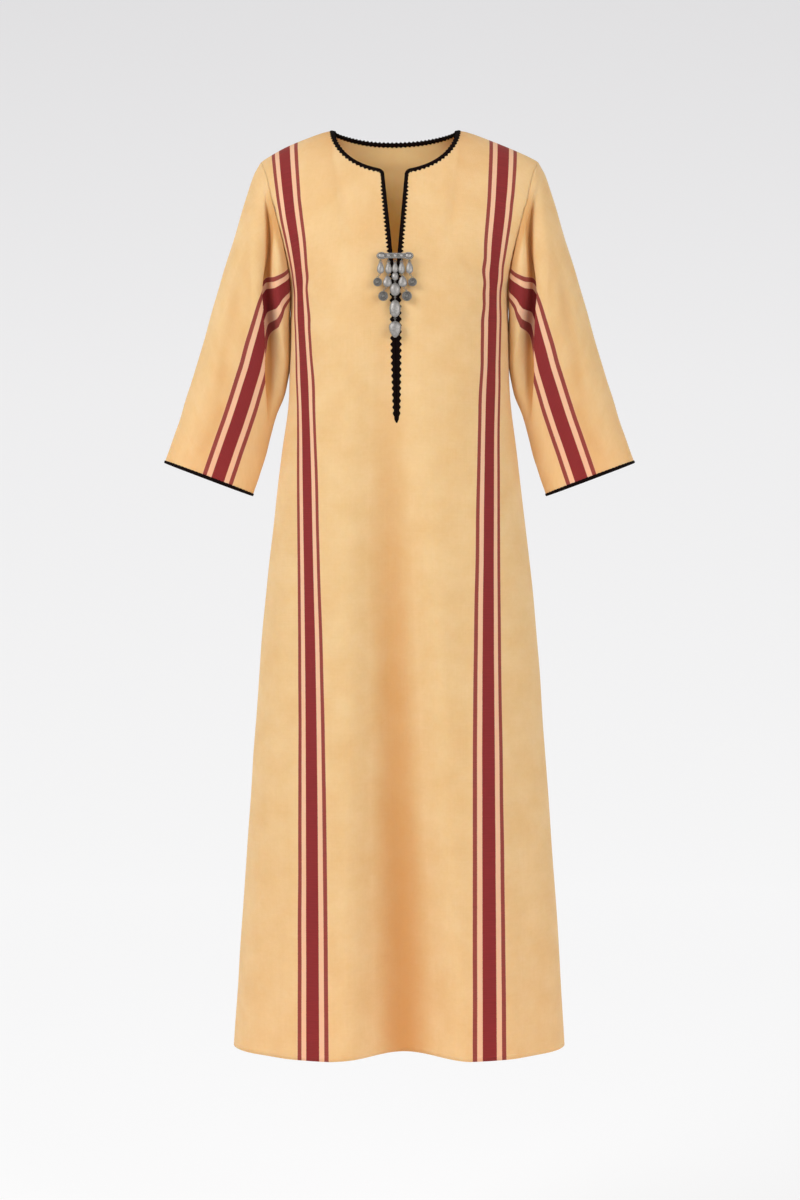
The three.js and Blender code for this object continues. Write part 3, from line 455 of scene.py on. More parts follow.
class Value:
    """A number on a node's socket, with which sums can be written."""

    def __init__(self, finish, socket):
        self.finish, self.socket = finish, socket

    def math(self, operation, *others):
        return self.finish.node("Math", {"operation": operation}, dict(enumerate((self, *others))))

    def __add__(self, other):
        return self.math("ADD", other)

    def __sub__(self, other):
        return self.math("SUBTRACT", other)

    def __rsub__(self, other):
        return self.finish.node("Math", {"operation": "SUBTRACT"}, {0: other, 1: self})

    def __mul__(self, other):
        return self.math("MULTIPLY", other)

    def __truediv__(self, other):
        return self.math("DIVIDE", other)

    def __abs__(self):
        return self.math("ABSOLUTE")

    def held(self):
        """Kept between 0 and 1."""
        return self.finish.node("Clamp", {}, {"Value": self})

    __radd__ = __add__
    __rmul__ = __mul__


class Finish:
    """A material under way, with its shader."""

    def __init__(self, name, roughness, **fixed):
        self.material = bpy.data.materials.new(name)
        self.material.use_nodes = True
        self.tree = self.material.node_tree
        self.shader = next(n for n in self.tree.nodes if n.type == "BSDF_PRINCIPLED")
        self.set("Roughness", roughness)
        for socket, value in fixed.items():
            self.set(socket.replace("_", " "), value)

    def set(self, name, value):
        if isinstance(value, Value):
            self.tree.links.new(value.socket, self.shader.inputs[name])
        else:
            self.shader.inputs[name].default_value = value

    def node(self, kind, settings, sockets, out=0):
        node = self.tree.nodes.new("ShaderNode" + kind)
        for key, value in settings.items():
            setattr(node, key, value)
        for key, value in sockets.items():
            if isinstance(value, Value):
                self.tree.links.new(value.socket, node.inputs[key])
            else:
                node.inputs[key].default_value = value
        return Value(self, node.outputs[out])

    def carried(self, name, out="Fac"):
        """Numbers that the mesh carries on its points: out is Fac for one, Vector for three."""
        return self.node("Attribute", {"attribute_name": name}, {}, out)

    def noise(self, where, scale, detail=2.0, roughness=0.5):
        return self.node("TexNoise", {}, {"Vector": where, "Scale": scale, "Detail": detail, "Roughness": roughness})

    def stretched(self, where, by):
        return self.node("VectorMath", {"operation": "MULTIPLY"}, {0: where, 1: by})

    def part(self, where, out):
        return self.node("SeparateXYZ", {}, {"Vector": where}, out)

    def mix(self, amount, one, two):
        return self.node("Mix", {"data_type": "RGBA"}, {0: amount, 6: one, 7: two}, 2)

    def bump(self, height, strength, distance):
        self.set("Normal", self.node("Bump", {}, {"Height": height, "Strength": strength, "Distance": distance}))


GOLD = paint(227, 189, 142)
GOLD_LOW = paint(215, 171, 118)
# Painted shade: the darker, more saturated gold that the cloth is coloured in its fold hollows
GOLD_PAINTED_SHADE = paint(190, 131, 68)
# Painted light: the wrong side is coloured paler than the right side of the same cloth, so that the inside of the
# dress looks lit
WRONG_SIDE_PAINTED_LIGHT = paint(252, 209, 158)
WRONG_LOW_PAINTED_LIGHT = paint(248, 200, 146)
MAROON = paint(136, 28, 38)
MAROON_LOW = paint(106, 18, 26)
BLUSH = paint(229, 174, 148)
# Half widths of the wide stripe, of a narrow one and of the paler ground that they lie on
BAND = {"wide_half": 9.9, "narrow_at": 20.6, "narrow_half": 3.1, "ground_half": 25.0}
THREAD_STEP = 0.9


def woven_cloth(name, gold_low, gold_high):
    """Plain weave of slightly uneven threads, about eleven to the centimetre, with dyed warp in the band, and a
    painted shade that deepens the gold in the fold hollows.
    """
    cloth = Finish(name, 0.86, Sheen_Weight=0.08, Sheen_Roughness=0.5, Specular_IOR_Level=0.16)
    cloth.set("Subsurface Weight", 0.5)
    cloth.set("Subsurface Radius", (1.0, 0.62, 0.34))
    cloth.set("Subsurface Scale", 0.004)
    cloth.set("Sheen Tint", paint(255, 226, 190))
    grain = cloth.carried("grain", "Vector")
    across, down = cloth.part(grain, 0), cloth.part(grain, 1)
    warp_streak = cloth.noise(cloth.stretched(grain, (0.9, 0.012, 0)), 1, 2)
    weft_streak = cloth.noise(cloth.stretched(grain, (0.014, 0.8, 0)), 1, 2)
    clouds = cloth.noise(grain, 0.016, 3, 0.6)
    flecks = cloth.noise(grain, 0.22, 2, 0.6)
    shade = 0.3 * warp_streak + 0.26 * weft_streak + 1.5 * clouds + 0.4 * flecks - 0.78
    gold = cloth.mix(shade.held(), gold_low, gold_high)
    # Painted shade: the gold turns darker and more saturated where the cloth lies in a fold's hollow
    gold = cloth.mix((cloth.carried("hollow") * 0.05).held() * 0.8, gold, GOLD_PAINTED_SHADE)
    jitter = (cloth.noise(cloth.stretched(grain, (0.3, 1.1, 0)), 1, 2) - 0.5) * 0.9
    off = abs(cloth.carried("band"))
    wide = ((BAND["wide_half"] - off + jitter) * 2 + 0.5).held()
    narrow = ((BAND["narrow_half"] - abs(off - BAND["narrow_at"]) + jitter) * 2 + 0.5).held()
    within = ((BAND["ground_half"] - off) * 0.5).held()
    dyed = cloth.mix((weft_streak * 1.6 - 0.3).held(), MAROON_LOW, MAROON)
    colour = cloth.mix(within * 0.7, gold, BLUSH)
    colour = cloth.mix((wide + narrow * 0.93).held() * 0.97, colour, dyed)
    cloth.set("Base Color", colour)
    warp = (across * (math.pi / THREAD_STEP)).math("SINE")
    weft = (down * (math.pi / THREAD_STEP)).math("SINE")
    height = warp * weft * 0.35 + 1.1 * warp_streak + 1.1 * weft_streak + 0.5 * flecks
    cloth.bump(height, 0.28, 0.0004)
    cloth.set("Roughness", 0.9 - 0.1 * flecks)
    return cloth.material


WOVEN = woven_cloth("woven_cloth", GOLD_LOW, GOLD), woven_cloth("woven_cloth_wrong_side", WRONG_LOW_PAINTED_LIGHT, WRONG_SIDE_PAINTED_LIGHT)
for piece in (front, back):
    for material in WOVEN:
        piece.data.materials.append(material)
    thicken(piece)
    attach(piece, "dress")
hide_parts("front_upper_left", "front_upper_right", "front_skirt_left", "front_skirt_right")
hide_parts("back")


# The sleeves: one piece of the same cloth each, sewn up underneath and set into the armholes, with the
# band of stripes running down the front from the underarm to the cuff. The deep drape folds lie where
# the raised arm lets the cloth fall.
SLEEVE = {
    "at": [0, 0.08, 0.17, 0.27, 0.38, 0.5, 0.62, 0.75, 0.88, 1],
    "out_x": [208, 218.5, 231.5, 248.5, 267, 286.5, 305, 323, 338, 351.5],
    "out_z": [-44, -66, -103, -158, -219, -285, -350, -406, -452, -492],
    "in_x": [163.5, 163, 162.9, 163.2, 164.6, 171.5, 185, 196, 208, 219.5],
    "in_z": [-250, -271, -296, -324, -354, -388, -424, -464, -505, -541.5],
    "deep": [66, 67, 66, 64, 61, 57, 53, 50, 47, 45],
}
# Broad folds: angle round the sleeve from its outer edge over the front, start, deepest place, end,
# depth and half width in degrees
SLEEVE_FOLDS = [(124, 0.02, 0.3, 0.66, 8, 40), (246, 0.02, 0.3, 0.66, 14, 34)]
# The drape: a trench beside the armhole. Angle of its outer wall, degrees to its inner wall and of that
# wall's rise, depth, and how much of the depth lies in the gentle slopes on either side; on the front,
# and more softly on the back.
DRAPE = {
    "at": [0.04, 0.06, 0.09, 0.12, 0.18, 0.225, 0.265, 0.295, 0.35, 0.405, 0.5, 0.575, 0.68],
    "wall": [53, 60, 68, 75, 87, 94, 99, 105, 112, 118.5, 127, 139, 156],
    "wide": [29, 28, 26, 25, 25, 30, 32, 32, 31, 28, 23, 16, 9],
    "rise": [9, 8, 7, 7, 7, 8, 10, 14, 22, 26, 26, 24, 22],
    "deep": [0, 8, 17, 23, 28, 30, 30, 30, 29, 26, 18, 8, 0],
    "slope": [0.7, 0.66, 0.58, 0.54, 0.48, 0.4, 0.3, 0.2, 0.16, 0.16, 0.2, 0.3, 0.4],
}
BACK_DRAPE = {"turn": 352, "share": 0.6}
SLEEVE_CREASES = [
    (52, 0.3, 74, 0.7, 1.2, 10),
    (92, 0.62, 70, 0.94, 1.0, 9),
    (228, 0.1, 262, 0.5, 1.5, 9),
    (300, 0.15, 280, 0.6, 1.2, 9),
]
ARMHOLE_BLEND = 0.3


def sleeve_ring(at, angle):
    turn = np.radians(angle)
    column = {name: curve(SLEEVE, name, at, "at") for name in SLEEVE if name != "at"}
    zero = 0 * column["deep"]
    outer = np.stack([column["out_x"], zero, column["out_z"]], axis=-1)
    inner = np.stack([column["in_x"], zero, column["in_z"]], axis=-1)
    middle, half = (outer + inner) / 2, (outer - inner) / 2
    point = middle + half * np.cos(turn)[..., None]
    point[..., 1] = -column["deep"] * np.sin(turn)
    for fold, start, peak, end, deep, wide in SLEEVE_FOLDS:
        off = np.clip((angle - fold) / wide, -1, 1)
        way = np.where(at < peak, (at - start) / (peak - start), (end - at) / (end - peak))
        way = np.clip(way, 0, 1)
        strength = way**2 * (3 - 2 * way) * 0.5 * (1 + np.cos(math.pi * off))
        point = point + unit(middle - point) * (deep * strength)[..., None]
    return point


def armhole_line(panel, share):
    one = np.ones_like(share)
    return body_point(panel, one, np.where(share < 1e-9, 0, 1 - np.sqrt(1 - share)), 1)


# The armhole's edge, taken from the panels' own points, by the angle round it
ROUND = np.linspace(0, 360, 1441)
ROUND_SHARE = (1 + np.cos(np.radians(ROUND))) / 2
ARMHOLE_EDGE = np.where((ROUND <= 180)[:, None], armhole_line(FRONT, ROUND_SHARE), armhole_line(BACK, ROUND_SHARE))


def armhole_point(angle):
    return np.stack([np.interp(angle, ROUND, ARMHOLE_EDGE[:, k]) for k in range(3)], axis=-1)


def sleeve_form(at, angle):
    ring = sleeve_ring(at, angle)
    fade = np.clip(1 - at / ARMHOLE_BLEND, 0, 1) ** 2
    shift = armhole_point(angle) - sleeve_ring(0 * at, angle)
    return ring + shift * fade[..., None]


def sleeve_relief(at, angle):
    height = 0.7 * np.sin(np.radians(angle * 3) + at * 9) * np.sin(at * 13 + 0.5)
    height += 0.35 * np.sin(np.radians(angle * 7) + 2 - at * 17) * np.sin(at * 29)
    for angle0, at0, angle1, at1, deep, half in SLEEVE_CREASES:
        on = (at - at0) / (at1 - at0)
        off = (angle - (angle0 + (angle1 - angle0) * on)) / half
        fade = np.clip(np.minimum(on + 0.2, 1.2 - on) / 0.5, 0, 1)
        height += deep * fade**2 * (3 - 2 * fade) * (0.55 * np.exp(-((off - 1.4) ** 2)) - np.exp(-(off**2)))
    for angles, share in ((angle, 1), (BACK_DRAPE["turn"] - angle, BACK_DRAPE["share"])):
        wall, wide, rise, deep, slope = [curve(DRAPE, name, at, "at") for name in DRAPE if name != "at"]
        off = angles - wall
        into, out_of = np.clip(off / 5 + 0.5, 0, 1), np.clip((wide - off) / rise + 0.5, 0, 1)
        trench = into**2 * (3 - 2 * into) * out_of**2 * (3 - 2 * out_of)
        hollow = np.clip((off + 30) / 33, 0, 1) ** 2 * np.clip((wide + 18 - off) / 22, 0, 1) ** 2
        height -= share * deep * (trench * (1 - slope) + hollow * slope)
    height *= np.clip(at / 0.06, 0, 1)
    at_seam = np.clip(1 - at / 0.012, 0, 1) ** 2
    return height - at_seam * (0.6 + 0.25 * np.sin(np.radians(angle) * 26))


def sleeve_point(at, angle):
    """A place on the left sleeve's outer face, in millimetres, with the direction that it faces."""
    here = sleeve_form(at, angle)
    small = np.where(at > 0.5, -1e-3, 1e-3)
    around = sleeve_form(at, (angle + 1) % 360) - sleeve_form(at, (angle + 359) % 360)
    along = (sleeve_form(at + small, angle) - here) / small[..., None]
    facing = unit(np.cross(around, along))
    return here + facing * sleeve_relief(at, angle)[..., None], facing


# Where the middle of the band lies round the sleeve, by the way along it
SLEEVE_BAND = {
    "at": [0, 0.06, 0.12, 0.19, 0.3, 0.435, 0.54, 0.63, 0.72, 0.81, 0.9, 1],
    "angle": [144, 136.5, 128.5, 120.5, 112, 107.5, 107.3, 107.3, 106.3, 105, 104, 103.5],
}


# Places round the sleeve, how many of them a hollow is measured over, and how deep it counts in the painted shade of
# the fold hollows
TURNS = 300
HOLLOW_TURNS = 24
SLEEVE_HOLLOW = 4


def sleeve_piece(name, side):
    steps = np.concatenate([[0, 0.004, 0.009], np.linspace(0.016, 1, 112)])
    turns = np.arange(TURNS) * 360 / TURNS
    at, angle = np.meshgrid(steps, turns, indexing="ij")
    points, _ = sleeve_point(at, angle)
    form = sleeve_form(at, angle)
    around = lengths_along(np.concatenate([form, form[:, :1]], axis=1), 1)
    along = lengths_along(points, 0)
    middle_turn = curve(SLEEVE_BAND, "angle", steps, "at")
    middle = np.array([np.interp(t, np.append(turns, 360), a) for t, a in zip(middle_turn, around)])
    track, ahead = sleeve_form(steps, middle_turn), sleeve_form(steps, middle_turn + 2)
    down = unit(np.gradient(track, axis=0))
    square = np.linalg.norm(np.cross(down, unit(ahead - track)), axis=1)
    band = (around[:, :-1] - middle[:, None]) * square[:, None]
    grain = np.stack([around[:, :-1] - middle[:, None], along, 0 * along], axis=-1)
    # How far each place lies inside the sleeve's round from the cloth around it, carried on the mesh for the painted
    # shade in the fold hollows
    centre = points.mean(axis=1, keepdims=True)
    out = np.linalg.norm(points - centre, axis=-1)
    low = [hollows(np.arange(3 * TURNS) * 1.0, np.tile(row, 3), HOLLOW_TURNS) for row in out]
    hollow = SLEEVE_HOLLOW * np.array(low)[:, TURNS : 2 * TURNS]
    values = {"band": band.ravel(), "grain": grain.reshape(-1, 3), "hollow": hollow.ravel()}
    high, wide = at.shape
    i = np.arange(high * wide).reshape(high, wide)
    beside = np.roll(i, -1, axis=1)
    quads = np.stack([i[:-1], beside[:-1], beside[1:], i[1:]], axis=-1).reshape(-1, 4)
    if side < 0:
        quads = quads[:, ::-1]
    flat = points.reshape(-1, 3) * np.array([side, 1, 1])
    piece = mesh_piece(name, flat, quads.tolist(), values)
    for material in WOVEN:
        piece.data.materials.append(material)
    thicken(piece)
    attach(piece, "dress")
    return piece


for side, hand in (("left", 1), ("right", -1)):
    sleeve_piece(f"sleeve_cloth_{side}", hand)
    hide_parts(f"sleeve_{side}")


# The neck edging: black thread worked over the cut edge of the neck and slit, straight towards the
# opening and in small scallops on the cloth. The two sides meet below the brooch down to the slit's foot.
# Width of a scallop where the slit is closed, where it is open, and round the neck
SCALLOP = [9.2, 6.2, 6.6]
# Way along the edge from the slit's foot, width on the cloth, height of the scallops there and on the rim
LIPS = {
    "at": [0, 5, 12, 17, 68, 117, 210, 345, 363, 372, 385, 430, 480, 710],
    "width": [1.0, 1.7, 2.0, 2.1, 3.1, 3.7, 3.6, 3.3, 3.4, 3.6, 3.7, 3.7, 3.6, 3.6],
    "height": [0, 0.6, 1.7, 2.2, 2.6, 3.0, 3.1, 2.9, 0.8, 0.6, 2.0, 2.3, 1.7, 1.7],
    "rim": [0, 0, 0, 0, 0, 0, 0, 0, 0, 0, 0, 0, 1.9, 1.9],
}
RIM_OUT = 1.85
STITCH = 1.15


def walk(panel, across, up, hand, way, distance, steps=3):
    """The place on a panel that lies a distance away along the cloth."""
    for _ in range(steps):
        _, a, b = body_slopes(panel, across, up, hand)
        goal = way * (distance / steps)[..., None]
        aa, ab, bb = (a * a).sum(-1), (a * b).sum(-1), (b * b).sum(-1)
        ga, gb = (goal * a).sum(-1), (goal * b).sum(-1)
        det = aa * bb - ab * ab
        across = np.clip(across + (ga * bb - gb * ab) / det, 0, 1)
        up = np.minimum(1, up + (gb * aa - ga * ab) / det)
    return across, up


def opening_side(hand):
    """Places along the opening's edge, from the slit's foot over the neck to the middle of the back."""
    foot = (SLIT_TIP_Z + 0.4 - CHEST_Z) / (LENGTH + CHEST_Z)
    head = float(top_of(FRONT, np.zeros(1))[0])
    slit_up = np.concatenate([np.linspace(foot, 0, 120, endpoint=False), np.linspace(0, head, 120)])
    runs = [(FRONT, 0 * slit_up, slit_up)]
    for panel in (FRONT, BACK):
        across, neck = columns_of(panel, 12, 160, 2)
        across = across[across <= neck + 1e-9][1 if panel is FRONT else 0 :]
        run = (panel, across, np.where(across >= neck - 1e-9, 1, top_of(panel, across)))
        runs.append(run if panel is FRONT else tuple([panel] + [v[::-1] for v in run[1:]]))
    points, facing, ways = [], [], []
    for panel, across, up in runs:
        point, normal = cloth_point(panel, across, np.minimum(up, 1 - 1e-4), hand)
        points.append(point)
        facing.append(normal)
        ways.append((panel, across, np.minimum(up, 1 - 1e-4)))
    return points, facing, ways


def smooth_along(rows, count):
    """Each row of numbers eased with its neighbours."""
    for _ in range(count):
        rows = np.concatenate([rows[:1], (rows[:-2] + 2 * rows[1:-1] + rows[2:]) / 4, rows[-1:]])
    return rows


def edging_side(hand):
    points, facing, ways = opening_side(hand)
    path, normal = np.concatenate(points), np.concatenate(facing)
    keep = np.concatenate([[True], np.linalg.norm(np.diff(path, axis=0), axis=1) > 0.02])
    owner = np.concatenate([[k] * len(p) for k, p in enumerate(points)])[keep]
    across = np.concatenate([w[1] for w in ways])[keep]
    up = np.concatenate([w[2] for w in ways])[keep]
    path, normal = path[keep], normal[keep]
    along = lengths_along(path, 0)
    slit = along[np.argmax(across > 0)]
    bounds = [0, SLIT_CLOSED_Z - SLIT_TIP_Z, slit, along[-1]]
    marks, phase = [], []
    for start, end, wide in zip(bounds, bounds[1:], SCALLOP):
        many = 8 * round((end - start) / wide)
        marks.append(np.linspace(start, end, many, endpoint=False))
        phase.append(np.arange(many) / 8)
    marks = np.append(np.concatenate(marks), along[-1])
    phase = np.append(np.concatenate(phase), 0)
    at = lambda rows: np.stack([np.interp(marks, along, rows[:, k]) for k in range(3)], axis=-1)
    edge = at(path)
    turned = unit(smooth_along(at(normal), 6))
    run = at(smooth_along(path, 3))
    tangent = unit(np.gradient(run, axis=0))
    tangent[-1] = (-hand, 0, 0)
    tangent = unit(smooth_along(tangent, 2))
    onto = unit(np.cross(tangent, turned)) * hand
    lobe = 0.5 - 0.5 * np.cos(2 * math.pi * phase)
    width = curve(LIPS, "width", marks, "at") + curve(LIPS, "height", marks, "at") * lobe
    nearest = np.clip(np.searchsorted(along, marks), 0, len(along) - 1)
    part = owner[nearest]

    def reach(share):
        place = edge + onto * (share * width)[:, None]
        for k, (panel, _, _) in enumerate(ways):
            mine = part == k
            here = (across[nearest[mine]], up[nearest[mine]])
            start, _ = cloth_point(panel, *here, hand)
            way = place[mine] - start
            far = np.linalg.norm(way, axis=1)
            there = walk(panel, *here, hand, unit(way), far)
            place[mine], _ = cloth_point(panel, *there, hand)
        return place

    room = np.where(edge[:, 2] < SLIT_TIP_Z + SLIT_NOTCH + 1, slit_half(edge[:, 2]) / (RIM + SEAM / 2), 1)
    rim = np.minimum(1, room) * (1 + curve(LIPS, "rim", marks, "at") * lobe / RIM_OUT)
    return {"edge": edge, "facing": turned, "onto": onto, "width": width, "rim": rim, "reach": reach, "along": marks}


# The strip's section: share of its width onto the cloth, millimetres more that way, height over the face
SECTION = [
    (1, 0, -0.15),
    (1, -0.2, 0.5),
    (0.7, 0, 1.0),
    (0.35, 0, 1.15),
    (0, -0.4, 1.1),
    (0, -1.4, 0.75),
    (0, -RIM_OUT, 0.05),
    (0, -RIM_OUT, -0.6),
    (0, -1.6, -1.3),
    (0, -0.9, -1.85),
    (0.3, 0, -2.0),
    (0.65, 0, -1.8),
    (1, -0.2, -1.35),
    (1, 0, -0.75),
]


def strip_rings(side):
    """The section of the strip at each of its places."""
    reached = {0: side["edge"]}
    rings = []
    for share, more, height in SECTION:
        if share not in reached:
            reached[share] = side["reach"](share)
        thick = np.minimum(1, side["width"] / 2.5)
        beside = more * side["rim"] if share == 0 else more + 0 * thick
        lift = height * (0.6 + 0.4 * thick)
        rings.append(reached[share] + side["onto"] * beside[:, None] + side["facing"] * lift[:, None])
    return np.stack(rings, axis=1)


def strip_piece(name, rings, along, closed):
    many, corners = rings.shape[:2]
    i = np.arange(many * corners).reshape(many, corners)
    ahead = np.roll(i, -1, axis=0) if closed else i[1:]
    here = i if closed else i[:-1]
    quads = np.stack([here, np.roll(here, -1, axis=1), np.roll(ahead, -1, axis=1), ahead], axis=-1)
    faces = quads.reshape(-1, 4).tolist()
    if not closed:
        faces += [i[0, ::-1].tolist(), i[-1].tolist()]
    turn = np.broadcast_to(np.arange(corners) / corners, (many, corners))
    run = np.broadcast_to(along[:, None], (many, corners))
    stitch = np.stack([run, turn, 0 * run], axis=-1).reshape(-1, 3)
    return mesh_piece(name, rings.reshape(-1, 3), faces, {"stitch": stitch})


def black_thread(name):
    """Twisted cotton thread, worked side by side across the edge."""
    thread = Finish(name, 0.8, Specular_IOR_Level=0.06)
    stitch = thread.carried("stitch", "Vector")
    along = thread.part(stitch, 0)
    turn = thread.part(stitch, 1)
    wave = ((along / STITCH + turn * 1.5) * (2 * math.pi)).math("SINE")
    fuzz = thread.noise(thread.stretched(stitch, (2.2, 30, 0)), 1, 3, 0.6)
    thread.set("Base Color", thread.mix((wave * 0.3 + fuzz).held(), paint(5, 2, 2), paint(24, 10, 8)))
    thread.bump(wave + fuzz * 0.8, 0.8, 0.0004)
    thread.set("Roughness", 0.62 + 0.25 * fuzz)
    return thread.material


THREAD = black_thread("black_thread")


def finish_strip(piece, node):
    """Sew a strip of the edging on."""
    piece.data.materials.append(THREAD)
    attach(piece, "dress")
    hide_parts(node)
    return piece


edging_left, edging_right = edging_side(1), edging_side(-1)
rings_left, rings_right = strip_rings(edging_left), strip_rings(edging_right)
rings_left[-1, :, 0] = (rings_left[-1, :, 0] + rings_right[-1, :, 0]) / 2
around_neck = np.concatenate([rings_left, rings_right[-2::-1]])
run = np.concatenate([edging_left["along"], 2 * edging_left["along"][-1] - edging_right["along"][-2::-1]])
neck_strip = finish_strip(strip_piece("neck_edging_thread", around_neck, run, False), "neck_edging")


# The cuff edgings: the same black thread worked narrower round each cuff, its scallops hardly showing.
CUFF = {"width": 1.7, "height": 0.5, "scallop": 6.0}


def cuff_strip(side, hand):
    turns = np.linspace(0, 360, 721)
    path, _ = sleeve_point(np.ones_like(turns), turns % 360)
    around = lengths_along(path, 0)
    count = round(around[-1] / CUFF["scallop"])
    marks = np.linspace(0, around[-1], count * 6, endpoint=False)
    angle = np.interp(marks, around, turns)
    one = np.ones_like(angle)
    edge, facing = sleeve_point(one, angle)
    step = 0.01
    above, _ = sleeve_point(one - step, angle)
    length = np.linalg.norm(above - edge, axis=1) / step
    onto = unit(above - edge)
    width = CUFF["width"] + CUFF["height"] * np.abs(np.sin(math.pi * marks / around[-1] * count))

    def reach(share):
        return sleeve_point(one - share * width / length, angle)[0]

    strip = {"edge": edge, "facing": facing, "onto": onto, "width": width, "rim": np.ones_like(width), "reach": reach}
    rings = strip_rings(strip) * np.array([hand, 1, 1])
    if hand < 0:
        rings = rings[:, ::-1]
    piece = strip_piece(f"cuff_edging_thread_{side}", rings[::-1], marks, True)
    return finish_strip(piece, f"cuff_edging_{side}")


cuff_strips = {side: cuff_strip(side, hand) for side, hand in (("left", 1), ("right", -1))}


# The brooch's bar: a flattened silver rod with a domed oval at each end and three domes between them,
# each set in a ring of tiny beads. It is pinned across the slit on two posts, and five wire rings hang below.
BROOCH = {"x": -6.4045, "y": -118, "z": -199.5}
BAR = {"half": 22, "high": 4.4, "deep": 3, "round": 1.5}
RAIL = {"half": 20, "wire": 0.62}
END = {"x": 19.6, "wide": 7.4, "high": 5.4, "deep": 3.4}
DOMES = [-9.5, 0, 9.5]
DOME = 3.5
POST = {"x": 7, "radius": 2.2, "back": -110.5}
HINGE_Z = -205.6
RING = {"radius": 2.1, "wire": 0.55, "play": 0.3}
PALE, DARK = 0, 1


def turned(profile, around=28):
    """A form turned round the upright axis, from its lowest to its highest point."""
    turn = np.arange(around) * 2 * math.pi / around
    rings = [[(r * math.cos(t), r * math.sin(t), z) for t in turn] for r, z in profile[1:-1]]
    points = np.array([(0, 0, profile[0][1])] + [p for ring in rings for p in ring] + [(0, 0, profile[-1][1])])
    faces = []
    last = len(points) - 1
    top = last - around
    for k in range(around):
        after = (k + 1) % around
        faces += [(0, 1 + after, 1 + k), (last, top + k, top + after)]
        for level in range(len(rings) - 1):
            low, high = 1 + level * around, 1 + (level + 1) * around
            faces.append((low + k, low + after, high + after, high + k))
    return points, faces


def facing_front(form):
    points, faces = form
    return np.stack([points[:, 0], -points[:, 2], points[:, 1]], axis=-1), faces


def wire_loop(path, wire, corners=8):
    """A closed round of wire along points that lie in one plane."""
    path = np.array(path, float)
    run = unit(np.roll(path, -1, 0) - np.roll(path, 1, 0))
    out = unit(np.cross(run[0], path[0] - path.mean(0)))
    side = unit(np.cross(run, out))
    turn = np.arange(corners) * 2 * math.pi / corners
    points = path[:, None] + wire * (np.cos(turn)[None, :, None] * side[:, None] + np.sin(turn)[None, :, None] * out)
    many = len(path)
    i = np.arange(many * corners).reshape(many, corners)
    ahead = np.roll(i, -1, 0)
    quads = np.stack([i, ahead, np.roll(ahead, -1, 1), np.roll(i, -1, 1)], axis=-1).reshape(-1, 4)
    return points.reshape(-1, 3), quads.tolist()


def round_loop(centre, radius, axis, count=28):
    """Points of a circle round the x, y or z axis."""
    turn = np.arange(count) * 2 * math.pi / count
    around = {"x": (1, 2), "y": (2, 0), "z": (0, 1)}[axis]
    path = np.tile(np.array(centre, float), (count, 1))
    path[:, around[0]] += radius * np.cos(turn)
    path[:, around[1]] += radius * np.sin(turn)
    return path


def ball(centre, radii, around, levels):
    steps = np.linspace(0, math.pi, levels + 1)
    points, faces = turned([(math.sin(t), -math.cos(t)) for t in steps], around)
    return points * np.array(radii) + np.array(centre), faces


class Metalwork:
    """Forms soldered together into one piece, each in a pale or a dark tone."""

    def __init__(self):
        self.points, self.faces, self.tones, self.many = [], [], [], 0

    def add(self, form, tone, shift=(0, 0, 0)):
        points, faces = form
        self.points.append(points + np.array(shift))
        self.faces += [tuple(i + self.many for i in face) for face in faces]
        self.tones += [tone] * len(faces)
        self.many += len(points)

    def beads(self, path, spacing, radius, tone):
        """Granules in a row along a closed line."""
        path = np.concatenate([path, path[:1]])
        along = lengths_along(path, 0)
        for mark in np.arange(round(along[-1] / spacing)) * along[-1] / round(along[-1] / spacing):
            self.add(ball([np.interp(mark, along, path[:, k]) for k in range(3)], [radius] * 3, 8, 5), tone)

    def piece(self, name, node, body):
        points = np.concatenate(self.points) + np.array([BROOCH["x"], BROOCH["y"], 0])
        piece = mesh_piece(name, points, self.faces)
        for material in (PALE_SILVER, DARK_SILVER):
            piece.data.materials.append(material)
        piece.data.polygons.foreach_set("material_index", self.tones)
        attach(piece, body)
        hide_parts(node)
        return piece


def silver(name, bright, dull, roughness):
    """Old silver, polished on its high places by wear and dark in its hollows."""
    metal = Finish(name, roughness, Metallic=0.75)
    where = metal.node("TexCoord", {}, {}, "Object")
    patches = metal.noise(where, 420, 4, 0.65)
    pits = metal.noise(where, 1500, 2, 0.5)
    worn = metal.node("NewGeometry", {}, {}, "Pointiness")
    raised = ((worn - 0.47) * 7).held()
    tone = (patches * 0.9 + raised * 0.7 - 0.35).held()
    metal.set("Base Color", metal.mix(tone, dull, bright))
    metal.set("Roughness", roughness + 0.12 - 0.24 * tone)
    metal.bump(patches * 0.6 + pits * 0.5, 0.35, 0.0004)
    return metal.material


PALE_SILVER = silver("pale_silver", paint(200, 197, 194), paint(112, 107, 103), 0.44)
DARK_SILVER = silver("dark_silver", paint(150, 147, 142), paint(66, 63, 60), 0.46)

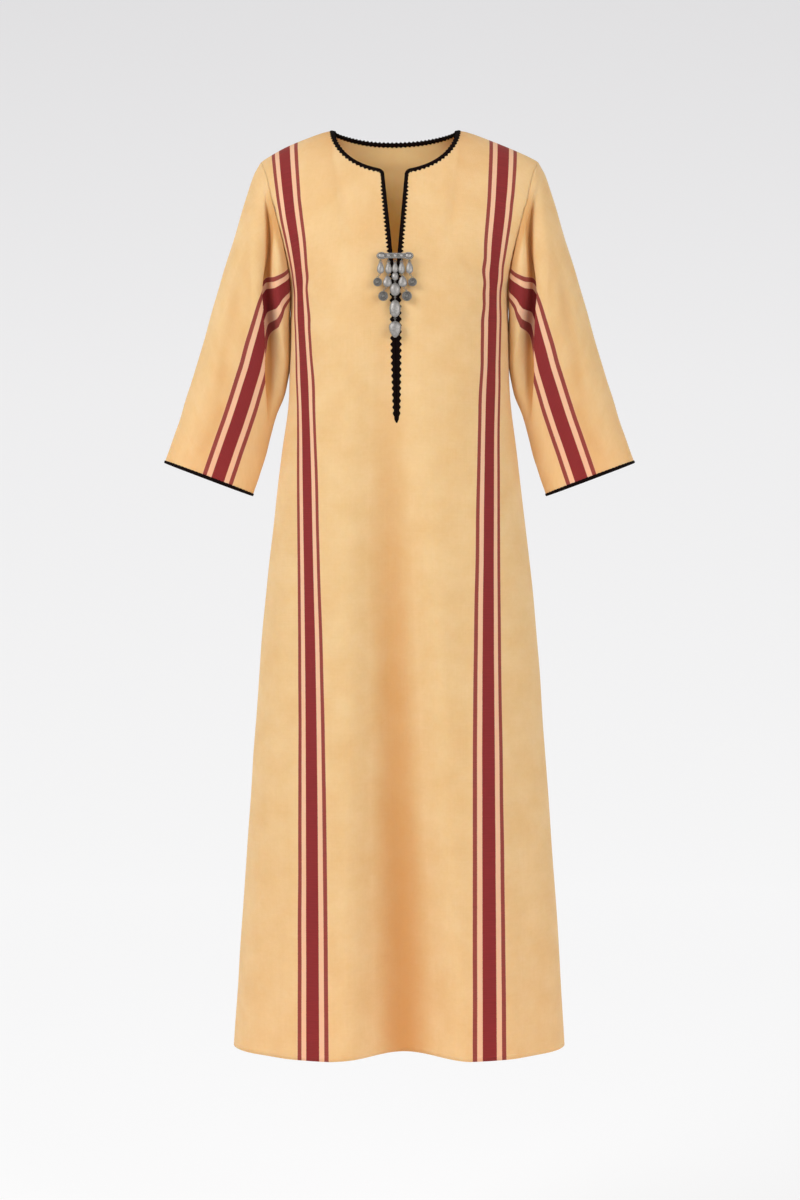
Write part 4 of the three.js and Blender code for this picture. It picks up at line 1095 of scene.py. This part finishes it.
bar = Metalwork()
rod = [(0, -BAR["half"])]
for turn in np.linspace(0, 1, 9)[1:] * math.pi / 2:
    rod.append((math.sin(turn), -BAR["half"] + BAR["round"] * (1 - math.cos(turn))))
rod += [(r, -z) for r, z in rod[::-1]]
points, faces = turned(rod)
points = np.stack([points[:, 2], points[:, 0] * BAR["deep"], points[:, 1] * BAR["high"] * 0.86], axis=-1)
bar.add((points, faces), DARK, (0, 0, BROOCH["z"]))
for level in (-1, 1):
    long = [(RAIL["wire"], z) for z in np.linspace(0.2 - RAIL["half"], RAIL["half"] - 0.2, 60)]
    points, faces = turned([(0, -RAIL["half"])] + long + [(0, RAIL["half"])], 10)
    bar.add((points[:, [2, 0, 1]], faces), PALE, (0, -1.5, BROOCH["z"] + level * BAR["high"] * 0.74))
for side in (-1, 1):
    place = np.array([side * END["x"], 0, BROOCH["z"]])
    bar.add(ball(place, [END["wide"], END["deep"], END["high"]], 28, 16), DARK)
    bar.add(ball(place + [0, -1.5, 0], [END["wide"] * 0.66, END["deep"] * 0.75, END["high"] * 0.66], 24, 12), PALE)
    oval = round_loop((0, 0, 0), 1, "y") * [END["wide"] * 0.84, 1, END["high"] * 0.84] + place + [0, -2.0, 0]
    bar.beads(oval, 1.25, 0.52, PALE)
    foot = POST["back"] - BROOCH["y"]
    points, faces = turned([(0, foot), (POST["radius"], foot), (POST["radius"], 0), (0, 0)], 20)
    bar.add((points[:, [0, 2, 1]] * [1, 1, -1], faces), DARK, (side * POST["x"], 0, BROOCH["z"]))
for x in DOMES:
    bar.add(ball((x, -1.3, BROOCH["z"]), [DOME * 0.8, DOME * 0.85, DOME * 0.85], 24, 12), PALE)
    bar.beads(round_loop((x, -2.4, BROOCH["z"]), DOME, "y"), 1.2, 0.5, PALE)
for x in (-21, -9.5, 0, 9.5, 21):
    bar.add(wire_loop(round_loop((x, 0, HINGE_Z), RING["radius"], "x"), RING["wire"]), DARK)
bar.piece("brooch_bar_silver", "brooch_bar", "dress")


# The strands: drops of old silver, each framed in beaded wire and hung from the one above by small
# rings. The outer ones end in round bossed disks, and the middle one ends in a large pointed drop.
STRAND_RING_Z = HINGE_Z - 2 * RING["radius"] + 2 * RING["wire"] + RING["play"]
LINK = {"radius": 1.25, "wire": 0.38}
DROP, DISK = "drop", "disk"
# Each drop: form, x, z, width, height, depth, and how much fuller it is below (above when negative)
STRANDS = {
    "outer": (21, [(DROP, 21, -216.9, 10.2, 16.4, 5.8, 0.35), (DISK, 25.3, -237.6, 13.4, 13.4, 5, 0)]),
    "inner": (
        9.5,
        [
            (DROP, 9.5, -216.9, 9.4, 16.4, 5.8, 0.45),
            (DROP, 11.2, -236.6, 12.6, 15.4, 6, 0.4),
            (DISK, 17.2, -258, 15, 15, 5, 0),
        ],
    ),
    "middle": (
        0,
        [
            (DROP, 0, -216.4, 8.2, 15, 5.6, 0.5),
            (DROP, 0, -229.6, 8.6, 11, 5.6, 0),
            (DROP, 0, -248.6, 14, 17.6, 7.4, 0),
            (DROP, 0, -276.4, 15.2, 24, 8, 0),
            (DROP, 0, -306.6, 18, 22.8, 7.8, -0.35),
        ],
    ),
}
# A disk's outline from the middle of its back round the rim to its boss, for a disk of this width
DISK_WIDE = 13.4
DISK_PROFILE = [
    (0, -1.6), (5.7, -1.4), (6.3, -0.8), (6.5, 0), (6.3, 0.8), (5.8, 1.15), (5.2, 1.0), (4.7, 0.6), (4.2, 0.75),
    (3.8, 1.15), (3.3, 1.2), (2.9, 0.8), (2.6, 0.8), (2.4, 1.5), (1.8, 2.15), (1.0, 2.45), (0, 2.5),
]


def egg(turn, wide, high, taper):
    full = (1 + taper * np.cos(turn)) / (1 + abs(taper) * 0.4)
    return wide / 2 * np.sin(turn) * full, -high / 2 * np.cos(turn)


def hang_drop(strand, kind, x, z, wide, high, deep, taper, tone):
    if kind == DISK:
        size = wide / DISK_WIDE
        form = facing_front(turned([(r * size, h) for r, h in DISK_PROFILE], 36))
        strand.add(form, DARK, (x, 0, z))
        strand.beads(round_loop((x, -0.95, z), 5.75 * size, "y"), 1.3, 0.5, DARK)
        return
    radius, level = egg(np.linspace(0, math.pi, 21), wide, high, taper)
    points, faces = turned(list(zip(radius, level)), 30)
    points[:, 1] *= deep / wide
    strand.add((points, faces), tone, (x, 0, z))
    turn = np.linspace(0, math.pi, 25)
    side, height = egg(turn, wide, high, taper)
    right, left = [np.stack([way * side, 0 * side, height], axis=-1) for way in (1, -1)]
    outline = np.concatenate([right, left[-2:0:-1]]) + (x, -0.5, z)
    strand.add(wire_loop(outline, 0.5), DARK)
    strand.beads(outline + [0, -0.75, 0], 1.15, 0.36, tone)


def hang_links(strand, above, below):
    """Small rings from the foot of one drop to the head of the next, every other one turned."""
    top = np.array([above[1], 0, above[2] - above[4] / 2])
    foot = np.array([below[1], 0, below[2] + below[4] / 2])
    way = foot - top
    count = max(1, round(np.linalg.norm(way) / (1.7 * LINK["radius"])))
    for k in range(count + 1):
        place = top + way * k / count
        axis = "y" if k % 2 else "x"
        strand.add(wire_loop(round_loop(place, LINK["radius"], axis, 18), LINK["wire"], 6), DARK)


def strand_piece(name, side, x, drops):
    strand = Metalwork()
    strand.add(wire_loop(round_loop((x * side, 0, STRAND_RING_Z), RING["radius"], "y"), RING["wire"]), DARK)
    placed = [(kind, dx * side, *rest) for kind, dx, *rest in drops]
    for above, below in zip(placed, placed[1:]):
        hang_links(strand, above, below)
    for drop in placed:
        hang_drop(strand, *drop, PALE)
    return strand.piece(f"{name}_silver", name, name)


for name, (x, drops) in STRANDS.items():
    if x == 0:
        strand_piece(f"strand_{name}", 1, x, drops)
    else:
        for side, hand in (("left", 1), ("right", -1)):
            strand_piece(f"strand_{name}_{side}", hand, x, drops)


# The floor and backdrop: one pale sweep, well below and behind the dress, which glows as painted light, brighter at
# the floor than higher up.
SWEEP = {"floor": -1.76, "near": -12.0, "bend": 5.2, "radius": 2.0, "high": 5.0, "half": 10.0, "fade": 4.1}


def sweep():
    line = [(SWEEP["near"], SWEEP["floor"])]
    for i in range(25):
        turn = i / 24 * math.pi / 2
        back_by, up_by = SWEEP["radius"] * math.sin(turn), SWEEP["radius"] * (1 - math.cos(turn))
        line.append((SWEEP["bend"] + back_by, SWEEP["floor"] + up_by))
    line.append((SWEEP["bend"] + SWEEP["radius"], SWEEP["high"]))
    points = np.array([(x, y, z) for y, z in line for x in (-SWEEP["half"], SWEEP["half"])]) / MM
    faces = [(2 * i, 2 * i + 1, 2 * i + 3, 2 * i + 2) for i in range(len(line) - 1)]
    return mesh_piece("sweep", points, faces)


backdrop = sweep()
pale = Finish("pale_backdrop", 0.95, Specular_IOR_Level=0.1)
height = pale.part(pale.node("TexCoord", {}, {}, "Object"), 2)
rising = ((height - SWEEP["floor"]) / SWEEP["fade"]).held()
pale.set("Base Color", paint(150, 150, 151))
# Painted light: the sweep glows on its own, brighter at the floor and fading to a dimmer grey higher up
pale.set("Emission Color", pale.mix(rising, paint(220, 220, 220), paint(189, 188, 189)))
pale.set("Emission Strength", 1.0)
backdrop.data.materials.append(pale.material)


# The light: a large soft one high on the left, a weaker one on the right, and a pale room all round.
def soft_light(name, place, aim, size, power):
    lamp = bpy.data.lights.new(name, "AREA")
    lamp.shape = "DISK"
    lamp.size = size
    lamp.energy = power
    light = bpy.data.objects.new(name, lamp)
    light.location = place
    towards = np.array(aim) - np.array(place)
    flat = math.hypot(towards[0], towards[1])
    light.rotation_euler = (math.atan2(flat, -towards[2]), 0, math.atan2(-towards[0], towards[1]))
    bpy.context.scene.collection.objects.link(light)


soft_light("key", (-2.8, -2.7, 1.4), (0, 0, -0.6), 2.4, 112)
soft_light("fill", (2.4, -3.2, 0.2), (0, 0, -0.7), 2.4, 62)
world = bpy.data.worlds.new("room")
world.use_nodes = True
room = world.node_tree.nodes["Background"]
room.inputs["Color"].default_value = (1, 1, 1, 1)
room.inputs["Strength"].default_value = 0.47
bpy.context.scene.world = world
bpy.context.scene.view_settings.view_transform = "Standard"
